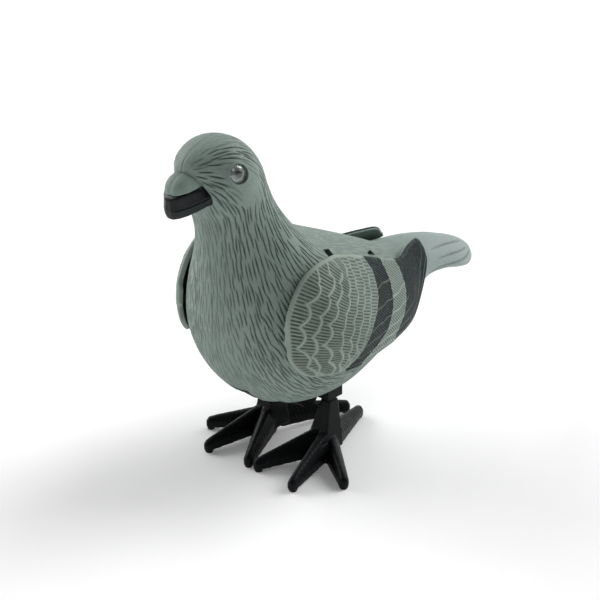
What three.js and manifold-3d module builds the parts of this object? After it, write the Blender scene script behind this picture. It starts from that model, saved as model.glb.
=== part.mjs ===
// Battery-driven model pigeon with flapping wings and walking legs.
// Millimetres, +Z up, beak towards -Y, the bird's left side towards +X, feet on z = 0.
import * as THREE from 'three';
import Module from 'manifold-3d';

const wasm = await Module();
wasm.setup();
const { Manifold, CrossSection } = wasm;

// ---------------------------------------------------------------- driving dimensions
const WALL = 1.8;                    // moulded shell
const GAP = 0.3;                     // between parts that nearly touch
const SIDES = [['left', 1], ['right', -1]];

// Body stations from tail end to forehead: back point (y, z), breast point (y, z),
// half width, and how far the sides hang below the middle (a folded tail is arched).
const BODY_STATIONS = [
  [73.0, 45.0, 73.0, 43.0, 1.4, 0.0],
  [71.5, 47.0, 71.0, 43.0, 3.8, 1.0],
  [68.0, 49.5, 67.5, 43.0, 6.8, 2.5],
  [63.0, 52.0, 62.0, 44.0, 9.4, 4.0],
  [56.0, 54.5, 55.0, 45.0, 11.0, 4.0],
  [48.0, 57.0, 47.0, 46.0, 11.0, 3.5],
  [38.0, 59.0, 37.0, 44.0, 11.5, 1.5],
  [30.0, 59.5, 28.5, 39.5, 13.5, 0.0],
  [22.0, 60.5, 19.5, 35.5, 16.0, 0.0],
  [9.5, 66.0, 7.5, 28.0, 21.0, 0.0],
  [-4.5, 72.0, -6.5, 23.5, 25.5, 0.0],
  [-18.0, 77.5, -22.5, 21.5, 29.0, 0.0],
  [-26.5, 81.5, -40.5, 25.5, 31.0, 0.0],
  [-31.0, 85.5, -52.0, 37.0, 26.5, 0.0],
  [-34.0, 90.0, -57.0, 53.0, 20.0, 0.0],
  [-36.5, 95.0, -57.5, 68.5, 15.0, 0.0],
  [-38.5, 100.5, -58.0, 81.0, 12.5, 0.0],
  [-41.5, 107.0, -59.5, 89.5, 13.0, 0.0],
  [-46.5, 112.5, -61.5, 93.0, 13.5, 0.0],
  [-53.0, 115.0, -63.5, 97.0, 12.0, 0.0],
  [-60.0, 114.0, -64.5, 100.0, 8.5, 0.0],
  [-66.0, 110.5, -66.5, 104.0, 4.0, 0.0],
  [-67.5, 107.0, -67.0, 106.5, 0.9, 0.0],
];
const INNER_STATIONS = [2, 20];      // first and last station of the hollow

const CERE = { y: -66.3, z: 103.0, radii: [5.6, 6.7, 4.2] };
const CERE_FLOOR = { normal: [0, -0.265, 0.964], offset: 116.46 };   // the beak's upper edge
const EYE = { x: 11.0, y: -56.9, z: 106.9, socketR: 3.5, lensR: 3.1, pupilR: 1.5 };

// Beak outline seen from the side (y, z) and half outline from above (y, x).
const BEAK_SIDE = [
  [-72.6, 101.0], [-73.0, 98.5], [-72.8, 96.0], [-72.1, 94.6], [-71.0, 94.4],
  [-66.6, 95.9], [-63.0, 96.5], [-61.4, 97.6], [-65.4, 103.2],
];
const BEAK_PLAN = [[-61.0, 6.9], [-66.0, 6.0], [-70.0, 4.2], [-72.0, 2.6], [-73.0, 1.0]];

// Wing sections, front to rear: y, top edge (x, z), bottom edge (x, z), bulge.
const WING_SECTIONS = [
  [-50.5, 22.5, 59.5, 23.0, 55.0, 0.1],
  [-49.5, 23.0, 64.0, 23.5, 48.5, 1.5],
  [-45.0, 23.0, 71.5, 26.0, 43.0, 4.5],
  [-39.5, 23.5, 75.5, 29.0, 42.0, 6.5],
  [-32.0, 23.0, 76.5, 31.0, 41.5, 7.0],
  [-25.0, 21.5, 75.5, 31.0, 41.0, 7.0],
  [-11.0, 19.0, 70.5, 28.5, 40.5, 5.5],
  [-0.6, 18.0, 66.5, 25.5, 39.5, 4.5],
  [13.0, 15.5, 62.0, 22.0, 41.0, 3.0],
  [23.5, 11.5, 62.3, 18.0, 47.5, 1.0],
  [31.0, 9.0, 62.1, 14.0, 54.0, 0.5],
  [34.5, 8.6, 58.8, 9.6, 57.0, 0.1],
];
const WING_THICK = 1.6;
const WING_OFF_BODY = 0.5;
const FLAP = THREE.MathUtils.degToRad(12);

// Wing hinge: both axes run fore and aft at this slope, through (x, FLAP_Y, FLAP_Z).
const HINGE = { x: 7.0, y: -25.0, z: 65.0, slope: 0.08, sleeveR: 2.6, boreR: 1.3, pinR: 1.2 };
const ARMS = [
  { y: -25.0, x: 22.4, z: 73.8, half: 1.5 },
  { y: 1.4, x: 18.2, z: 64.3, half: 1.5 },
];
const LEVER = { y: -19.0, half: 1.8, reach: 4.8, thick: 2.2 };

// Legs
const HIP = { x: 13.0, y: -19.0, z: 28.0, pinR: 1.2, pinHalf: 2.45, hubR: 2.4 };
const POD = { halfX: 2.6, halfY: 3.4, bottom: 22.4, top: 31.0 };
const LEVER_ARM = { halfX: 1.2, halfY: 1.5, headHalfY: 2.2, headZ: [45.0, 56.0], slotHalfZ: 4.2 };
// Shank sections: z, then how far it reaches inward, outward, forward and back.
const SHANK = [
  [4, 5.2, 3.3, 6.0, 3.3],
  [9.5, 4.5, 3.1, 5.0, 3.1],
  [16, 2.9, 2.3, 3.0, 2.5],
  [21.4, 1.9, 1.9, 2.1, 2.1],
];
const SHANK_TOP = 21.4;
const TOES = [
  { tip: [2.2, -41.6], root: [11.5, -22.5], ridge: 11.6 },
  { tip: [18.9, -43.4], root: [14.0, -22.0], ridge: 11.6 },
  { tip: [29.9, -31.6], root: [14.6, -20.5], ridge: 9.8 },
  { tip: [3.0, 8.0], root: [12.0, -17.5], ridge: 10.6 },
];

// Drive train
const CRANK = { y: -19.0, z: 50.6, throw: 2.9, shaftR: 1.2, pinR: 0.8 };
const MODULE_MM = 0.4;
const TEETH = { pinion: 8, wheel: 36 };
const CENTRE = MODULE_MM * (TEETH.pinion + TEETH.wheel) / 2;
const GEAR_X = {
  drive: [-1.6, 1.4],
  secondWheel: [2.0, 3.8],
  secondPinion: [-1.6, 2.0],
  firstWheel: [5.0, 6.6],
  firstPinion: [2.0, 5.0],
  motorPinion: [5.0, 7.0],
};
const AXLE = { r: 0.75, boreR: 0.8, halfLength: 8.2 };
const BOX = { halfX: 8.6, wall: 0.9, y0: -28.2, y1: 15.4, z0: 41.9, z1: 59.3 };
const POSTS = [[-26.3, 44.6], [-26.3, 56.6], [13.7, 56.6]];
const MOTOR = { r: 6.6, halfY: 5.6, x0: -12.8, x1: 4.2, capX: -14.6, shaftR: 0.75 };
const DISC = { r: 4.2, inner: 9.2, outer: 10.9, pinEnd: 11.4 };
const CAM = { r: 2.6, lift: 1.0, x0: -4.1, x1: -2.3 };

// Yoke: a square frame round the cam and a bar across the two wing levers.
const YOKE = { x0: -4.1, x1: -2.5, half: 5.4, window: 3.9, bar: 2.2, headHalfX: 2.8, overLever: 0.35 };
const BRACKET = { rail: [9.9, 11.3], thick: 1.6, front: [-30.4, -28.2], rear: [3.4, 4.8] };

// Batteries: two AAA cells side by side
const CELL = { r: 5.25, length: 43.6, nipple: 0.9, x: 5.35, y0: -38.4, z: 35.6 };
const FRAME = { halfX: 11.5, y0: -41.4, y1: 8.4, top: 41.6, plate: 2.4 };
const CAVITY = { halfX: 10.75, y0: -40.4, y1: 7.4, top: 40.9 };
const FRONT_TONGUE = { halfX: 4.6, y0: -48.0 };
const REAR_TONGUE = { halfX: 6.2, y1: 17.6 };
const DOOR = { halfX: 9.9, thick: 1.4, tabHalfX: 3.4, tabY: -46.9, screwY: -44.2, seatZ: 31.0, bossTop: 32.5 };
const GRIP = { r: 4.2, halfX: 7.9, y: -22.9, z: 22.1 };
const CONTACT = { halfX: 9.4, thick: 0.5, z0: 32.0, z1: 39.4 };
const SHELL_SCREWS = [[-46.0, 63.0], [-36.5, 47.5], [21.5, 50.0]];
const SWITCH = { y: 12.0, slotHalfX: 3.0, knobX: [-2.5, -0.1] };

// ---------------------------------------------------------------- small helpers
const group = new THREE.Group();

function plastic(color, roughness = 0.55) {
  return new THREE.MeshStandardMaterial({ color, roughness, metalness: 0 });
}

const MATERIALS = {
  plumage: plastic(0x83918a),
  wing: plastic(0x97a196),
  black: plastic(0x15171a, 0.42),
  pin: new THREE.MeshStandardMaterial({ color: 0xb9bcc0, roughness: 0.3, metalness: 1 }),
  brass: new THREE.MeshStandardMaterial({ color: 0xc2a25a, roughness: 0.35, metalness: 1 }),
  white: plastic(0xe6e4dc, 0.5),
  lens: plastic(0xaab4b2, 0.12),
  red: plastic(0xa8231e, 0.5),
  cell: plastic(0x3f6f4a, 0.4),
};

function addMesh(name, geometry, material) {
  const mesh = new THREE.Mesh(geometry, material);
  mesh.name = name;
  group.add(mesh);
  return mesh;
}

function toGeometry(solid) {
  const mesh = solid.getMesh();
  const geometry = new THREE.BufferGeometry();
  geometry.setAttribute('position', new THREE.BufferAttribute(new Float32Array(mesh.vertProperties), 3));
  geometry.setIndex(new THREE.BufferAttribute(new Uint32Array(mesh.triVerts), 1));
  geometry.computeVertexNormals();
  return geometry;
}

function addSolid(name, solid, material) {
  return addMesh(name, toGeometry(solid), material);
}

function box(x0, x1, y0, y1, z0, z1) {
  return Manifold.cube([x1 - x0, y1 - y0, z1 - z0]).translate([x0, y0, z0]);
}

// A cylinder along X from x0 to x1.
function rodX(r, x0, x1, y, z, sides = 24) {
  return Manifold.cylinder(x1 - x0, r, r, sides).rotate([0, 90, 0]).translate([x0, y, z]);
}

// A cross-section drawn in the Y-Z plane, extruded along X from x0 to x1.
function alongX(section, x0, x1) {
  return section.extrude(x1 - x0).transform([0, 1, 0, 0, 0, 0, 1, 0, 1, 0, 0, 0, x0, 0, 0, 1]);
}

function unite(list) {
  return Manifold.union(list);
}

function catmullRom(rows, t) {
  const last = rows.length - 1;
  const i = Math.min(Math.floor(t), last - 1);
  const u = t - i;
  return rows[0].map((_, k) => {
    const p1 = rows[i][k];
    const p2 = rows[i + 1][k];
    const p0 = i > 0 ? rows[i - 1][k] : 2 * p1 - p2;
    const p3 = i + 2 <= last ? rows[i + 2][k] : 2 * p2 - p1;
    const m1 = (p2 - p0) / 2;
    const m2 = (p3 - p1) / 2;
    const a = 2 * u ** 3 - 3 * u ** 2 + 1;
    const b = u ** 3 - 2 * u ** 2 + u;
    const c = -2 * u ** 3 + 3 * u ** 2;
    const d = u ** 3 - u ** 2;
    return a * p1 + b * m1 + c * p2 + d * m2;
  });
}

// Closed skin over rings of equal length, capped by a fan at each end.
function skin(rings) {
  const n = rings[0].length;
  const positions = rings.flat(2);
  const indices = [];
  for (let i = 0; i + 1 < rings.length; i += 1) {
    for (let j = 0; j < n; j += 1) {
      const k = (j + 1) % n;
      const [a, b, c, d] = [i * n + j, i * n + k, (i + 1) * n + k, (i + 1) * n + j];
      indices.push(a, b, c, a, c, d);
    }
  }
  const capEnd = (ring, offset, flip) => {
    const middle = [0, 1, 2].map((axis) => ring.reduce((sum, p) => sum + p[axis], 0) / n);
    const centre = positions.length / 3;
    positions.push(...middle);
    for (let j = 0; j < n; j += 1) {
      const k = (j + 1) % n;
      indices.push(...(flip ? [centre, offset + k, offset + j] : [centre, offset + j, offset + k]));
    }
  };
  capEnd(rings[0], 0, true);
  capEnd(rings[rings.length - 1], (rings.length - 1) * n, false);
  const solid = new Manifold(new wasm.Mesh({
    numProp: 3,
    vertProperties: new Float32Array(positions),
    triVerts: new Uint32Array(indices),
  }));
  return solid.volume() < 0 ? flipped(positions, indices) : solid;
}

function flipped(positions, indices) {
  const turned = indices.map((_, i) => indices[i - (i % 3) + 2 - (i % 3)]);
  return new Manifold(new wasm.Mesh({
    numProp: 3,
    vertProperties: new Float32Array(positions),
    triVerts: new Uint32Array(turned),
  }));
}

// ---------------------------------------------------------------- body
function bodyLoft(grow, first, last, around, stepsPerStation) {
  const rings = [];
  const steps = (last - first) * stepsPerStation;
  for (let s = 0; s <= steps; s += 1) {
    const t = first + s / stepsPerStation;
    const [yD, zD, yV, zV, w, arch] = catmullRom(BODY_STATIONS, t);
    const half = Math.hypot(yD - yV, zD - zV) / 2;
    const dir = [(yD - yV) / (2 * half), (zD - zV) / (2 * half)];
    const ring = [];
    for (let j = 0; j < around; j += 1) {
      const angle = (2 * Math.PI * j) / around;
      const side = Math.sin(angle);
      const up = (half + grow) * Math.cos(angle) - arch * side * side;
      ring.push([(w + grow) * side, (yD + yV) / 2 + dir[0] * up, (zD + zV) / 2 + dir[1] * up]);
    }
    rings.push(ring);
  }
  return skin(rings);
}

const lastStation = BODY_STATIONS.length - 1;
const bodyOuter = bodyLoft(0, 0, lastStation, 28, 2);
const bodyClear = bodyLoft(WING_OFF_BODY, 0, lastStation, 24, 1);
const bodyInner = bodyLoft(-WALL, INNER_STATIONS[0], INNER_STATIONS[1], 18, 1);
const cere = Manifold.sphere(1, 24).scale(CERE.radii).translate([0, CERE.y, CERE.z])
  .trimByPlane(CERE_FLOOR.normal, CERE_FLOOR.offset);

function insetLoft(depth) {
  return bodyLoft(-depth, INNER_STATIONS[0], INNER_STATIONS[1], 28, 2);
}

// ---------------------------------------------------------------- beak
function beakSolid(grow) {
  const outline = new CrossSection([BEAK_SIDE], 'NonZero').offset(grow, 'Miter');
  return alongX(outline, -10, 10);
}

function beakPlan() {
  const right = BEAK_PLAN.map(([y, x]) => [-x, y]).reverse();
  const left = BEAK_PLAN.map(([y, x]) => [x, y]);
  return new CrossSection([[...left, ...right]], 'NonZero').extrude(30).translate([0, 0, 85]);
}

addSolid('beak', beakSolid(0).intersect(beakPlan()), MATERIALS.black);

// ---------------------------------------------------------------- hinge frame of the wings
function hingeZ(y) {
  return HINGE.z - HINGE.slope * (y - HINGE.y);
}

const HINGE_TILT = THREE.MathUtils.radToDeg(Math.atan(HINGE.slope));

// A cylinder along one wing's hinge axis between two stations in y.
function rodHinge(side, r, y0, y1, sides = 20) {
  const length = (y1 - y0) * Math.hypot(1, HINGE.slope);
  return Manifold.cylinder(length, r, r, sides)
    .rotate([-90 - HINGE_TILT, 0, 0])
    .translate([side * HINGE.x, y0, hingeZ(y0)]);
}

// Where an arm runs in the plane across the hinge: its root height, length and rest angle.
function armOutline(arm) {
  const z0 = hingeZ(arm.y);
  const reach = Math.hypot(arm.x - HINGE.x, arm.z - z0);
  const rest = Math.atan2(arm.z - z0, arm.x - HINGE.x);
  return { z0, reach, rest };
}

function armSolid(side, arm) {
  const { z0, reach, rest } = armOutline(arm);
  const thick = 1.2;
  const nx = -Math.sin(rest) * thick;
  const nz = Math.cos(rest) * thick;
  const end = [HINGE.x + Math.cos(rest) * reach, z0 + Math.sin(rest) * reach];
  const points = [[HINGE.x, z0], end].flatMap(([x, z]) => [[x + nx, z + nz], [x - nx, z - nz]]);
  return hullOfOutline(points, side, arm.y - arm.half, arm.y + arm.half);
}

// The convex hull of an X-Z outline between two stations in y.
function hullOfOutline(points, side, y0, y1) {
  return Manifold.hull(points.flatMap(([x, z]) => [[side * x, y0, z], [side * x, y1, z]]));
}

// The opening in the shell that one arm sweeps as the wing lifts.
function armSlot(side, arm) {
  const { z0, reach, rest } = armOutline(arm);
  const clear = 1.6;
  const points = [];
  for (let i = 0; i <= 6; i += 1) {
    const angle = rest + FLAP * (i / 6);
    const [c, s] = [Math.cos(angle), Math.sin(angle)];
    for (const across of [-clear, clear]) {
      points.push([HINGE.x - s * across, z0 + c * across]);
      points.push([HINGE.x - s * across + c * (reach + 8), z0 + c * across + s * (reach + 8)]);
    }
  }
  return hullOfOutline(points, side, arm.y - arm.half - 0.6, arm.y + arm.half + 0.6);
}

// ---------------------------------------------------------------- wings
function wingPlate(side) {
  const across = 8;
  const along = 2 * (WING_SECTIONS.length - 1);
  const outer = [];
  for (let s = 0; s <= along; s += 1) {
    const [y, xt, zt, xb, zb, bulge] = catmullRom(WING_SECTIONS, s / 2);
    const row = [];
    for (let j = 0; j <= across; j += 1) {
      const v = j / across;
      const x = xt + (xb - xt) * v + bulge * 4 * v * (1 - v);
      row.push(new THREE.Vector3(x, y, zt + (zb - zt) * v));
    }
    outer.push(row);
  }
  const rings = outer.map((row, s) => {
    const inner = row.map((p, j) => {
      const du = outer[Math.min(s + 1, along)][j].clone().sub(outer[Math.max(s - 1, 0)][j]);
      const dv = row[Math.min(j + 1, across)].clone().sub(row[Math.max(j - 1, 0)]);
      const normal = du.cross(dv).normalize();
      if (normal.x < 0) normal.negate();
      return p.clone().addScaledVector(normal, -WING_THICK);
    });
    return [...row, ...inner.reverse()].map((p) => [side * p.x, p.y, p.z]);
  });
  return skin(rings);
}

function wing(side) {
  const sleeve = rodHinge(side, HINGE.sleeveR, -27.6, 3.0);
  const bore = rodHinge(side, HINGE.boreR, -40, 20);
  const z = hingeZ(LEVER.y);
  const lever = box(HINGE.x - LEVER.reach, HINGE.x, LEVER.y - LEVER.half, LEVER.y + LEVER.half,
    z - LEVER.thick / 2, z + LEVER.thick / 2);
  const leverHere = side > 0 ? lever : lever.mirror([1, 0, 0]);
  const arms = ARMS.map((arm) => armSolid(side, arm));
  const plate = wingPlate(side).subtract(bodyClear);
  return unite([plate, sleeve, leverHere, ...arms]).subtract(bore);
}

for (const [name, side] of SIDES) {
  addSolid(`wing_${name}`, wing(side), MATERIALS.wing);
  addSolid(`wing_axle_${name}`, rodHinge(side, HINGE.pinR, -30.2, 5.0), MATERIALS.pin);
}

// Bracket on top of the gearbox that carries both wing axles.
function bracket() {
  const foot = BOX.z1 + GAP;
  const [inside, outside] = BRACKET.rail;
  const endPlate = ([y0, y1]) => {
    const z = hingeZ((y0 + y1) / 2);
    const corners = [[outside, foot], [outside, foot + BRACKET.thick], [8.6, z + 0.8], [7.4, z + 1.9]];
    return Manifold.hull(corners.flatMap(([x, zz]) => [[x, y0, zz], [x, y1, zz], [-x, y0, zz], [-x, y1, zz]]));
  };
  const rails = SIDES.map(([, side]) => {
    const [x0, x1] = [side * inside, side * outside].sort((a, b) => a - b);
    return box(x0, x1, BRACKET.front[0], BRACKET.rear[1], foot, foot + BRACKET.thick);
  });
  const bores = SIDES.map(([, side]) => rodHinge(side, HINGE.boreR, -40, 20));
  return unite([endPlate(BRACKET.front), endPlate(BRACKET.rear), ...rails]).subtract(unite(bores));
}
addSolid('wing_bracket', bracket(), MATERIALS.white);

// Yoke: the cam frame, its stem, and a bar whose head presses both levers down.
function yoke() {
  const { x0, x1, half, window, bar, headHalfX, overLever } = YOKE;
  const { y, z } = CRANK;
  const under = hingeZ(LEVER.y) + LEVER.thick / 2 + overLever;
  const frame = box(x0, x1, y - half, y + half, z - half, z + half + 1.4)
    .subtract(box(x0 - 1, x1 + 1, y - window, y + window, z - window, z + window + 1.5));
  const stem = box(x0, x1, y - half, y - half + bar, z + 5, under + bar);
  const crossbar = box(x0, headHalfX, y - half, y - half + bar, under, under + bar);
  const head = box(-headHalfX, headHalfX, y - 3.4, y + 1.6, under, under + bar);
  return unite([frame, stem, crossbar, head]);
}
addSolid('wing_yoke', yoke(), MATERIALS.white);

// ---------------------------------------------------------------- gears
function gearOutline(teeth, turn) {
  const pitch = (MODULE_MM * teeth) / 2;
  const root = pitch - 1.15 * MODULE_MM;
  const tip = pitch + 0.82 * MODULE_MM;
  const step = (2 * Math.PI) / teeth;
  const rootHalf = 0.27;
  const tipHalf = 0.11;
  const points = [];
  for (let i = 0; i < teeth; i += 1) {
    const a = i * step + turn;
    const corners = [[root, -rootHalf], [tip, -tipHalf], [tip, tipHalf], [root, rootHalf]];
    for (const [r, h] of corners) {
      points.push([r * Math.cos(a + h * step), r * Math.sin(a + h * step)]);
    }
  }
  return points;
}

// A gear about the X axis; turn is measured from +Y towards +Z.
function gear(teeth, turn, [x0, x1], at) {
  return alongX(new CrossSection([gearOutline(teeth, turn)]), x0, x1).translate([0, at.y, at.z]);
}

// The turn of a pinion that seats its tooth gap on the nearest tooth of the wheel in front of it.
function meshTurn(wheelTurn) {
  const wheelStep = (2 * Math.PI) / TEETH.wheel;
  const pinionStep = (2 * Math.PI) / TEETH.pinion;
  const past = -wheelTurn / wheelStep;
  const phase = past - Math.floor(past);
  return Math.PI + pinionStep * (phase + 0.5);
}

const drive = { y: CRANK.y, z: CRANK.z };
const second = { y: drive.y + CENTRE, z: drive.z };
const first = { y: second.y + CENTRE, z: drive.z };
const motor = { y: first.y + CENTRE, z: drive.z };

// The centres lie in one row along +Y, so every pinion turns the same way against its wheel.
const turnDrive = 0;
const turnSecond = meshTurn(turnDrive);
const turnFirst = meshTurn(turnSecond);
const turnMotor = meshTurn(turnFirst);

const bore = (r, at) => rodX(r, -20, 20, at.y, at.z);
addSolid('drive_gear',
  gear(TEETH.wheel, turnDrive, GEAR_X.drive, drive).subtract(bore(CRANK.shaftR + 0.05, drive)),
  MATERIALS.white);

function compound(at, turn, wheelX, pinionX) {
  const wheel = gear(TEETH.wheel, turn, wheelX, at);
  const pinion = gear(TEETH.pinion, turn, pinionX, at);
  return unite([wheel, pinion]).subtract(bore(AXLE.boreR, at));
}
addSolid('reduction_gear_2',
  compound(second, turnSecond, GEAR_X.secondWheel, GEAR_X.secondPinion), MATERIALS.white);
addSolid('reduction_gear_1',
  compound(first, turnFirst, GEAR_X.firstWheel, GEAR_X.firstPinion), MATERIALS.white);
addSolid('motor_pinion',
  gear(TEETH.pinion, turnMotor, GEAR_X.motorPinion, motor).subtract(bore(MOTOR.shaftR, motor)),
  MATERIALS.brass);

addSolid('crankshaft', rodX(CRANK.shaftR, -DISC.outer, DISC.outer, drive.y, drive.z), MATERIALS.pin);
for (const [name, at] of [['reduction_axle_2', second], ['reduction_axle_1', first]]) {
  addSolid(name, rodX(AXLE.r, -AXLE.halfLength, AXLE.halfLength, at.y, at.z, 16), MATERIALS.pin);
}

// Crank discs outside the gearbox; their pins stop just short of the leg levers.
for (const [name, side] of SIDES) {
  const [d0, d1] = [side * DISC.inner, side * DISC.outer].sort((a, b) => a - b);
  const [p0, p1] = [side * DISC.inner, side * DISC.pinEnd].sort((a, b) => a - b);
  const disc = rodX(DISC.r, d0, d1, drive.y, drive.z, 32);
  const pin = rodX(CRANK.pinR, p0, p1, drive.y, drive.z + side * CRANK.throw, 16);
  addSolid(`crank_disc_${name}`,
    unite([disc, pin]).subtract(bore(CRANK.shaftR + 0.02, drive)), MATERIALS.white);
}
addSolid('wing_cam',
  rodX(CAM.r, CAM.x0, CAM.x1, drive.y, drive.z + CAM.lift, 28).subtract(bore(CRANK.shaftR + 0.02, drive)),
  MATERIALS.white);

// ---------------------------------------------------------------- gearbox and motor
function motorBlock(grow, x0, x1) {
  const round = rodX(MOTOR.r + grow, x0, x1, motor.y, motor.z, 40);
  const flats = box(x0, x1, motor.y - MOTOR.halfY - grow, motor.y + MOTOR.halfY + grow, 30, 70);
  return round.intersect(flats);
}

function gearboxCase() {
  const { halfX, wall, y0, y1, z0, z1 } = BOX;
  const tray = box(-halfX + wall + 0.2, halfX, y0, y1, z0, z1)
    .subtract(box(-halfX, halfX - wall, y0 + wall, y1 - wall, z0 + wall, z1 - wall));
  const posts = POSTS.map(([y, z]) => rodX(1.6, -halfX + wall + 0.2, halfX - 0.5, y, z, 16));
  const screwHoles = POSTS.map(([y, z]) => rodX(0.65, -halfX, -1, y, z, 12));
  const yokeSlot = box(-4.4, -2.2, CRANK.y - 5.7, CRANK.y - 2.9, z1 - 3, z1 + 1);
  return unite([tray, ...posts]).subtract(unite([
    bore(CRANK.shaftR + 0.08, drive), bore(AXLE.boreR, second), bore(AXLE.boreR, first),
    yokeSlot, ...screwHoles,
  ]));
}
addSolid('gearbox_case', gearboxCase(), MATERIALS.white);

function gearboxCover() {
  const { halfX, wall, y0, y1, z0, z1 } = BOX;
  const plate = box(-halfX, -halfX + wall, y0, y1, z0, z1);
  const screwHoles = POSTS.map(([y, z]) => rodX(0.8, -halfX - 1, 0, y, z, 12));
  return plate.subtract(unite([
    bore(CRANK.shaftR + 0.08, drive), bore(AXLE.boreR, second), bore(AXLE.boreR, first),
    motorBlock(GAP, -20, 0), ...screwHoles,
  ]));
}
addSolid('gearbox_cover', gearboxCover(), MATERIALS.white);

POSTS.forEach(([y, z], i) => {
  const head = rodX(1.4, -BOX.halfX - 0.9, -BOX.halfX, y, z, 16);
  const shank = rodX(0.6, -BOX.halfX - 0.2, -2, y, z, 12);
  addSolid(`gearbox_screw_${i + 1}`, unite([head, shank]), MATERIALS.pin);
});

addSolid('motor_can', motorBlock(0, MOTOR.x0, MOTOR.x1).subtract(bore(MOTOR.shaftR, motor)
  .intersect(box(2, 20, -99, 99, 0, 99))), MATERIALS.pin);
addSolid('motor_end_cap', motorBlock(-0.3, MOTOR.capX, MOTOR.x0), MATERIALS.white);
addSolid('motor_shaft', rodX(MOTOR.shaftR, 2, 7.4, motor.y, motor.z, 16), MATERIALS.pin);

// ---------------------------------------------------------------- legs
function toe({ tip, root, ridge }) {
  const [tx, ty] = tip;
  const [rx, ry] = root;
  const length = Math.hypot(tx - rx, ty - ry);
  const ux = (tx - rx) / length;
  const uy = (ty - ry) / length;
  const at = (along, across, z) => [rx + ux * along - uy * across, ry + uy * along + ux * across, z];
  const points = [];
  for (const across of [-3.2, 3.2]) {
    points.push(at(0, across, 2.6), at(0, across, ridge - 4.2), at(0, across * 0.4, ridge));
  }
  for (let i = 0; i <= 6; i += 1) {
    const angle = -Math.PI / 2 + (Math.PI * i) / 6;
    const [c, s] = [Math.cos(angle), Math.sin(angle)];
    points.push(at(length + 1.7 * c, 1.7 * s, 1.0), at(length + 1.7 * c, 1.7 * s, 3.0));
    points.push(at(length + 0.9 * c, 0.9 * s, 4.4));
  }
  return Manifold.hull(points);
}

function leg(side) {
  const toes = TOES.map(toe);
  const pads = TOES.map(({ tip }) => Manifold.cylinder(1.6, 1.4, 1.4, 16).translate([tip[0], tip[1], 0]));
  const shank = Manifold.hull(SHANK.flatMap(([z, inward, outward, forward, back]) =>
    [-inward, outward].flatMap((dx) => [-forward, back].map((dy) => [HIP.x + dx, HIP.y + dy, z]))));
  const { halfX, halfY, headHalfY, headZ, slotHalfZ } = LEVER_ARM;
  const arm = box(HIP.x - halfX, HIP.x + halfX, HIP.y - halfY, HIP.y + halfY, SHANK_TOP - 1, headZ[0] + 3);
  const hub = rodX(HIP.hubR, HIP.x - halfX, HIP.x + halfX, HIP.y, HIP.z, 20);
  const head = box(HIP.x - halfX, HIP.x + halfX, HIP.y - headHalfY, HIP.y + headHalfY, ...headZ);
  const slotHalfY = CRANK.pinR + 0.15;
  const slot = box(0, 30, HIP.y - slotHalfY, HIP.y + slotHalfY, CRANK.z - slotHalfZ, CRANK.z + slotHalfZ);
  const hipBore = rodX(HIP.pinR + 0.08, 0, 30, HIP.y, HIP.z, 20);
  const solid = unite([...toes, ...pads, shank, arm, hub, head]).subtract(unite([slot, hipBore]));
  return side > 0 ? solid : solid.mirror([1, 0, 0]);
}

for (const [name, side] of SIDES) {
  addSolid(`leg_${name}`, leg(side), MATERIALS.black);
  const middle = side * HIP.x;
  addSolid(`hip_pin_${name}`,
    rodX(HIP.pinR, middle - HIP.pinHalf, middle + HIP.pinHalf, HIP.y, HIP.z, 20), MATERIALS.pin);
}

// ---------------------------------------------------------------- belly frame, door and switch
function footprint(grow, z0, z1) {
  return unite([
    box(-FRAME.halfX - grow, FRAME.halfX + grow, FRAME.y0 - grow, FRAME.y1 + grow, z0, z1),
    box(-FRONT_TONGUE.halfX - grow, FRONT_TONGUE.halfX + grow, FRONT_TONGUE.y0 - grow, FRAME.y0 + 1, z0, z1),
    box(-REAR_TONGUE.halfX - grow, REAR_TONGUE.halfX + grow, FRAME.y1 - 1, REAR_TONGUE.y1 + grow, z0, z1),
    ...SIDES.map(([, side]) => {
      const x = side * HIP.x;
      return box(x - POD.halfX - grow, x + POD.halfX + grow, HIP.y - POD.halfY - grow,
        HIP.y + POD.halfY + grow, z0, z1);
    }),
  ]);
}

function doorOutline(grow, z0, z1) {
  return unite([
    box(-DOOR.halfX - grow, DOOR.halfX + grow, CAVITY.y0 + 0.4 - grow, CAVITY.y1 - 0.4 + grow, z0, z1),
    box(-DOOR.tabHalfX - grow, DOOR.tabHalfX + grow, DOOR.tabY - grow, CAVITY.y0 + 1, z0, z1),
  ]);
}

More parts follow.
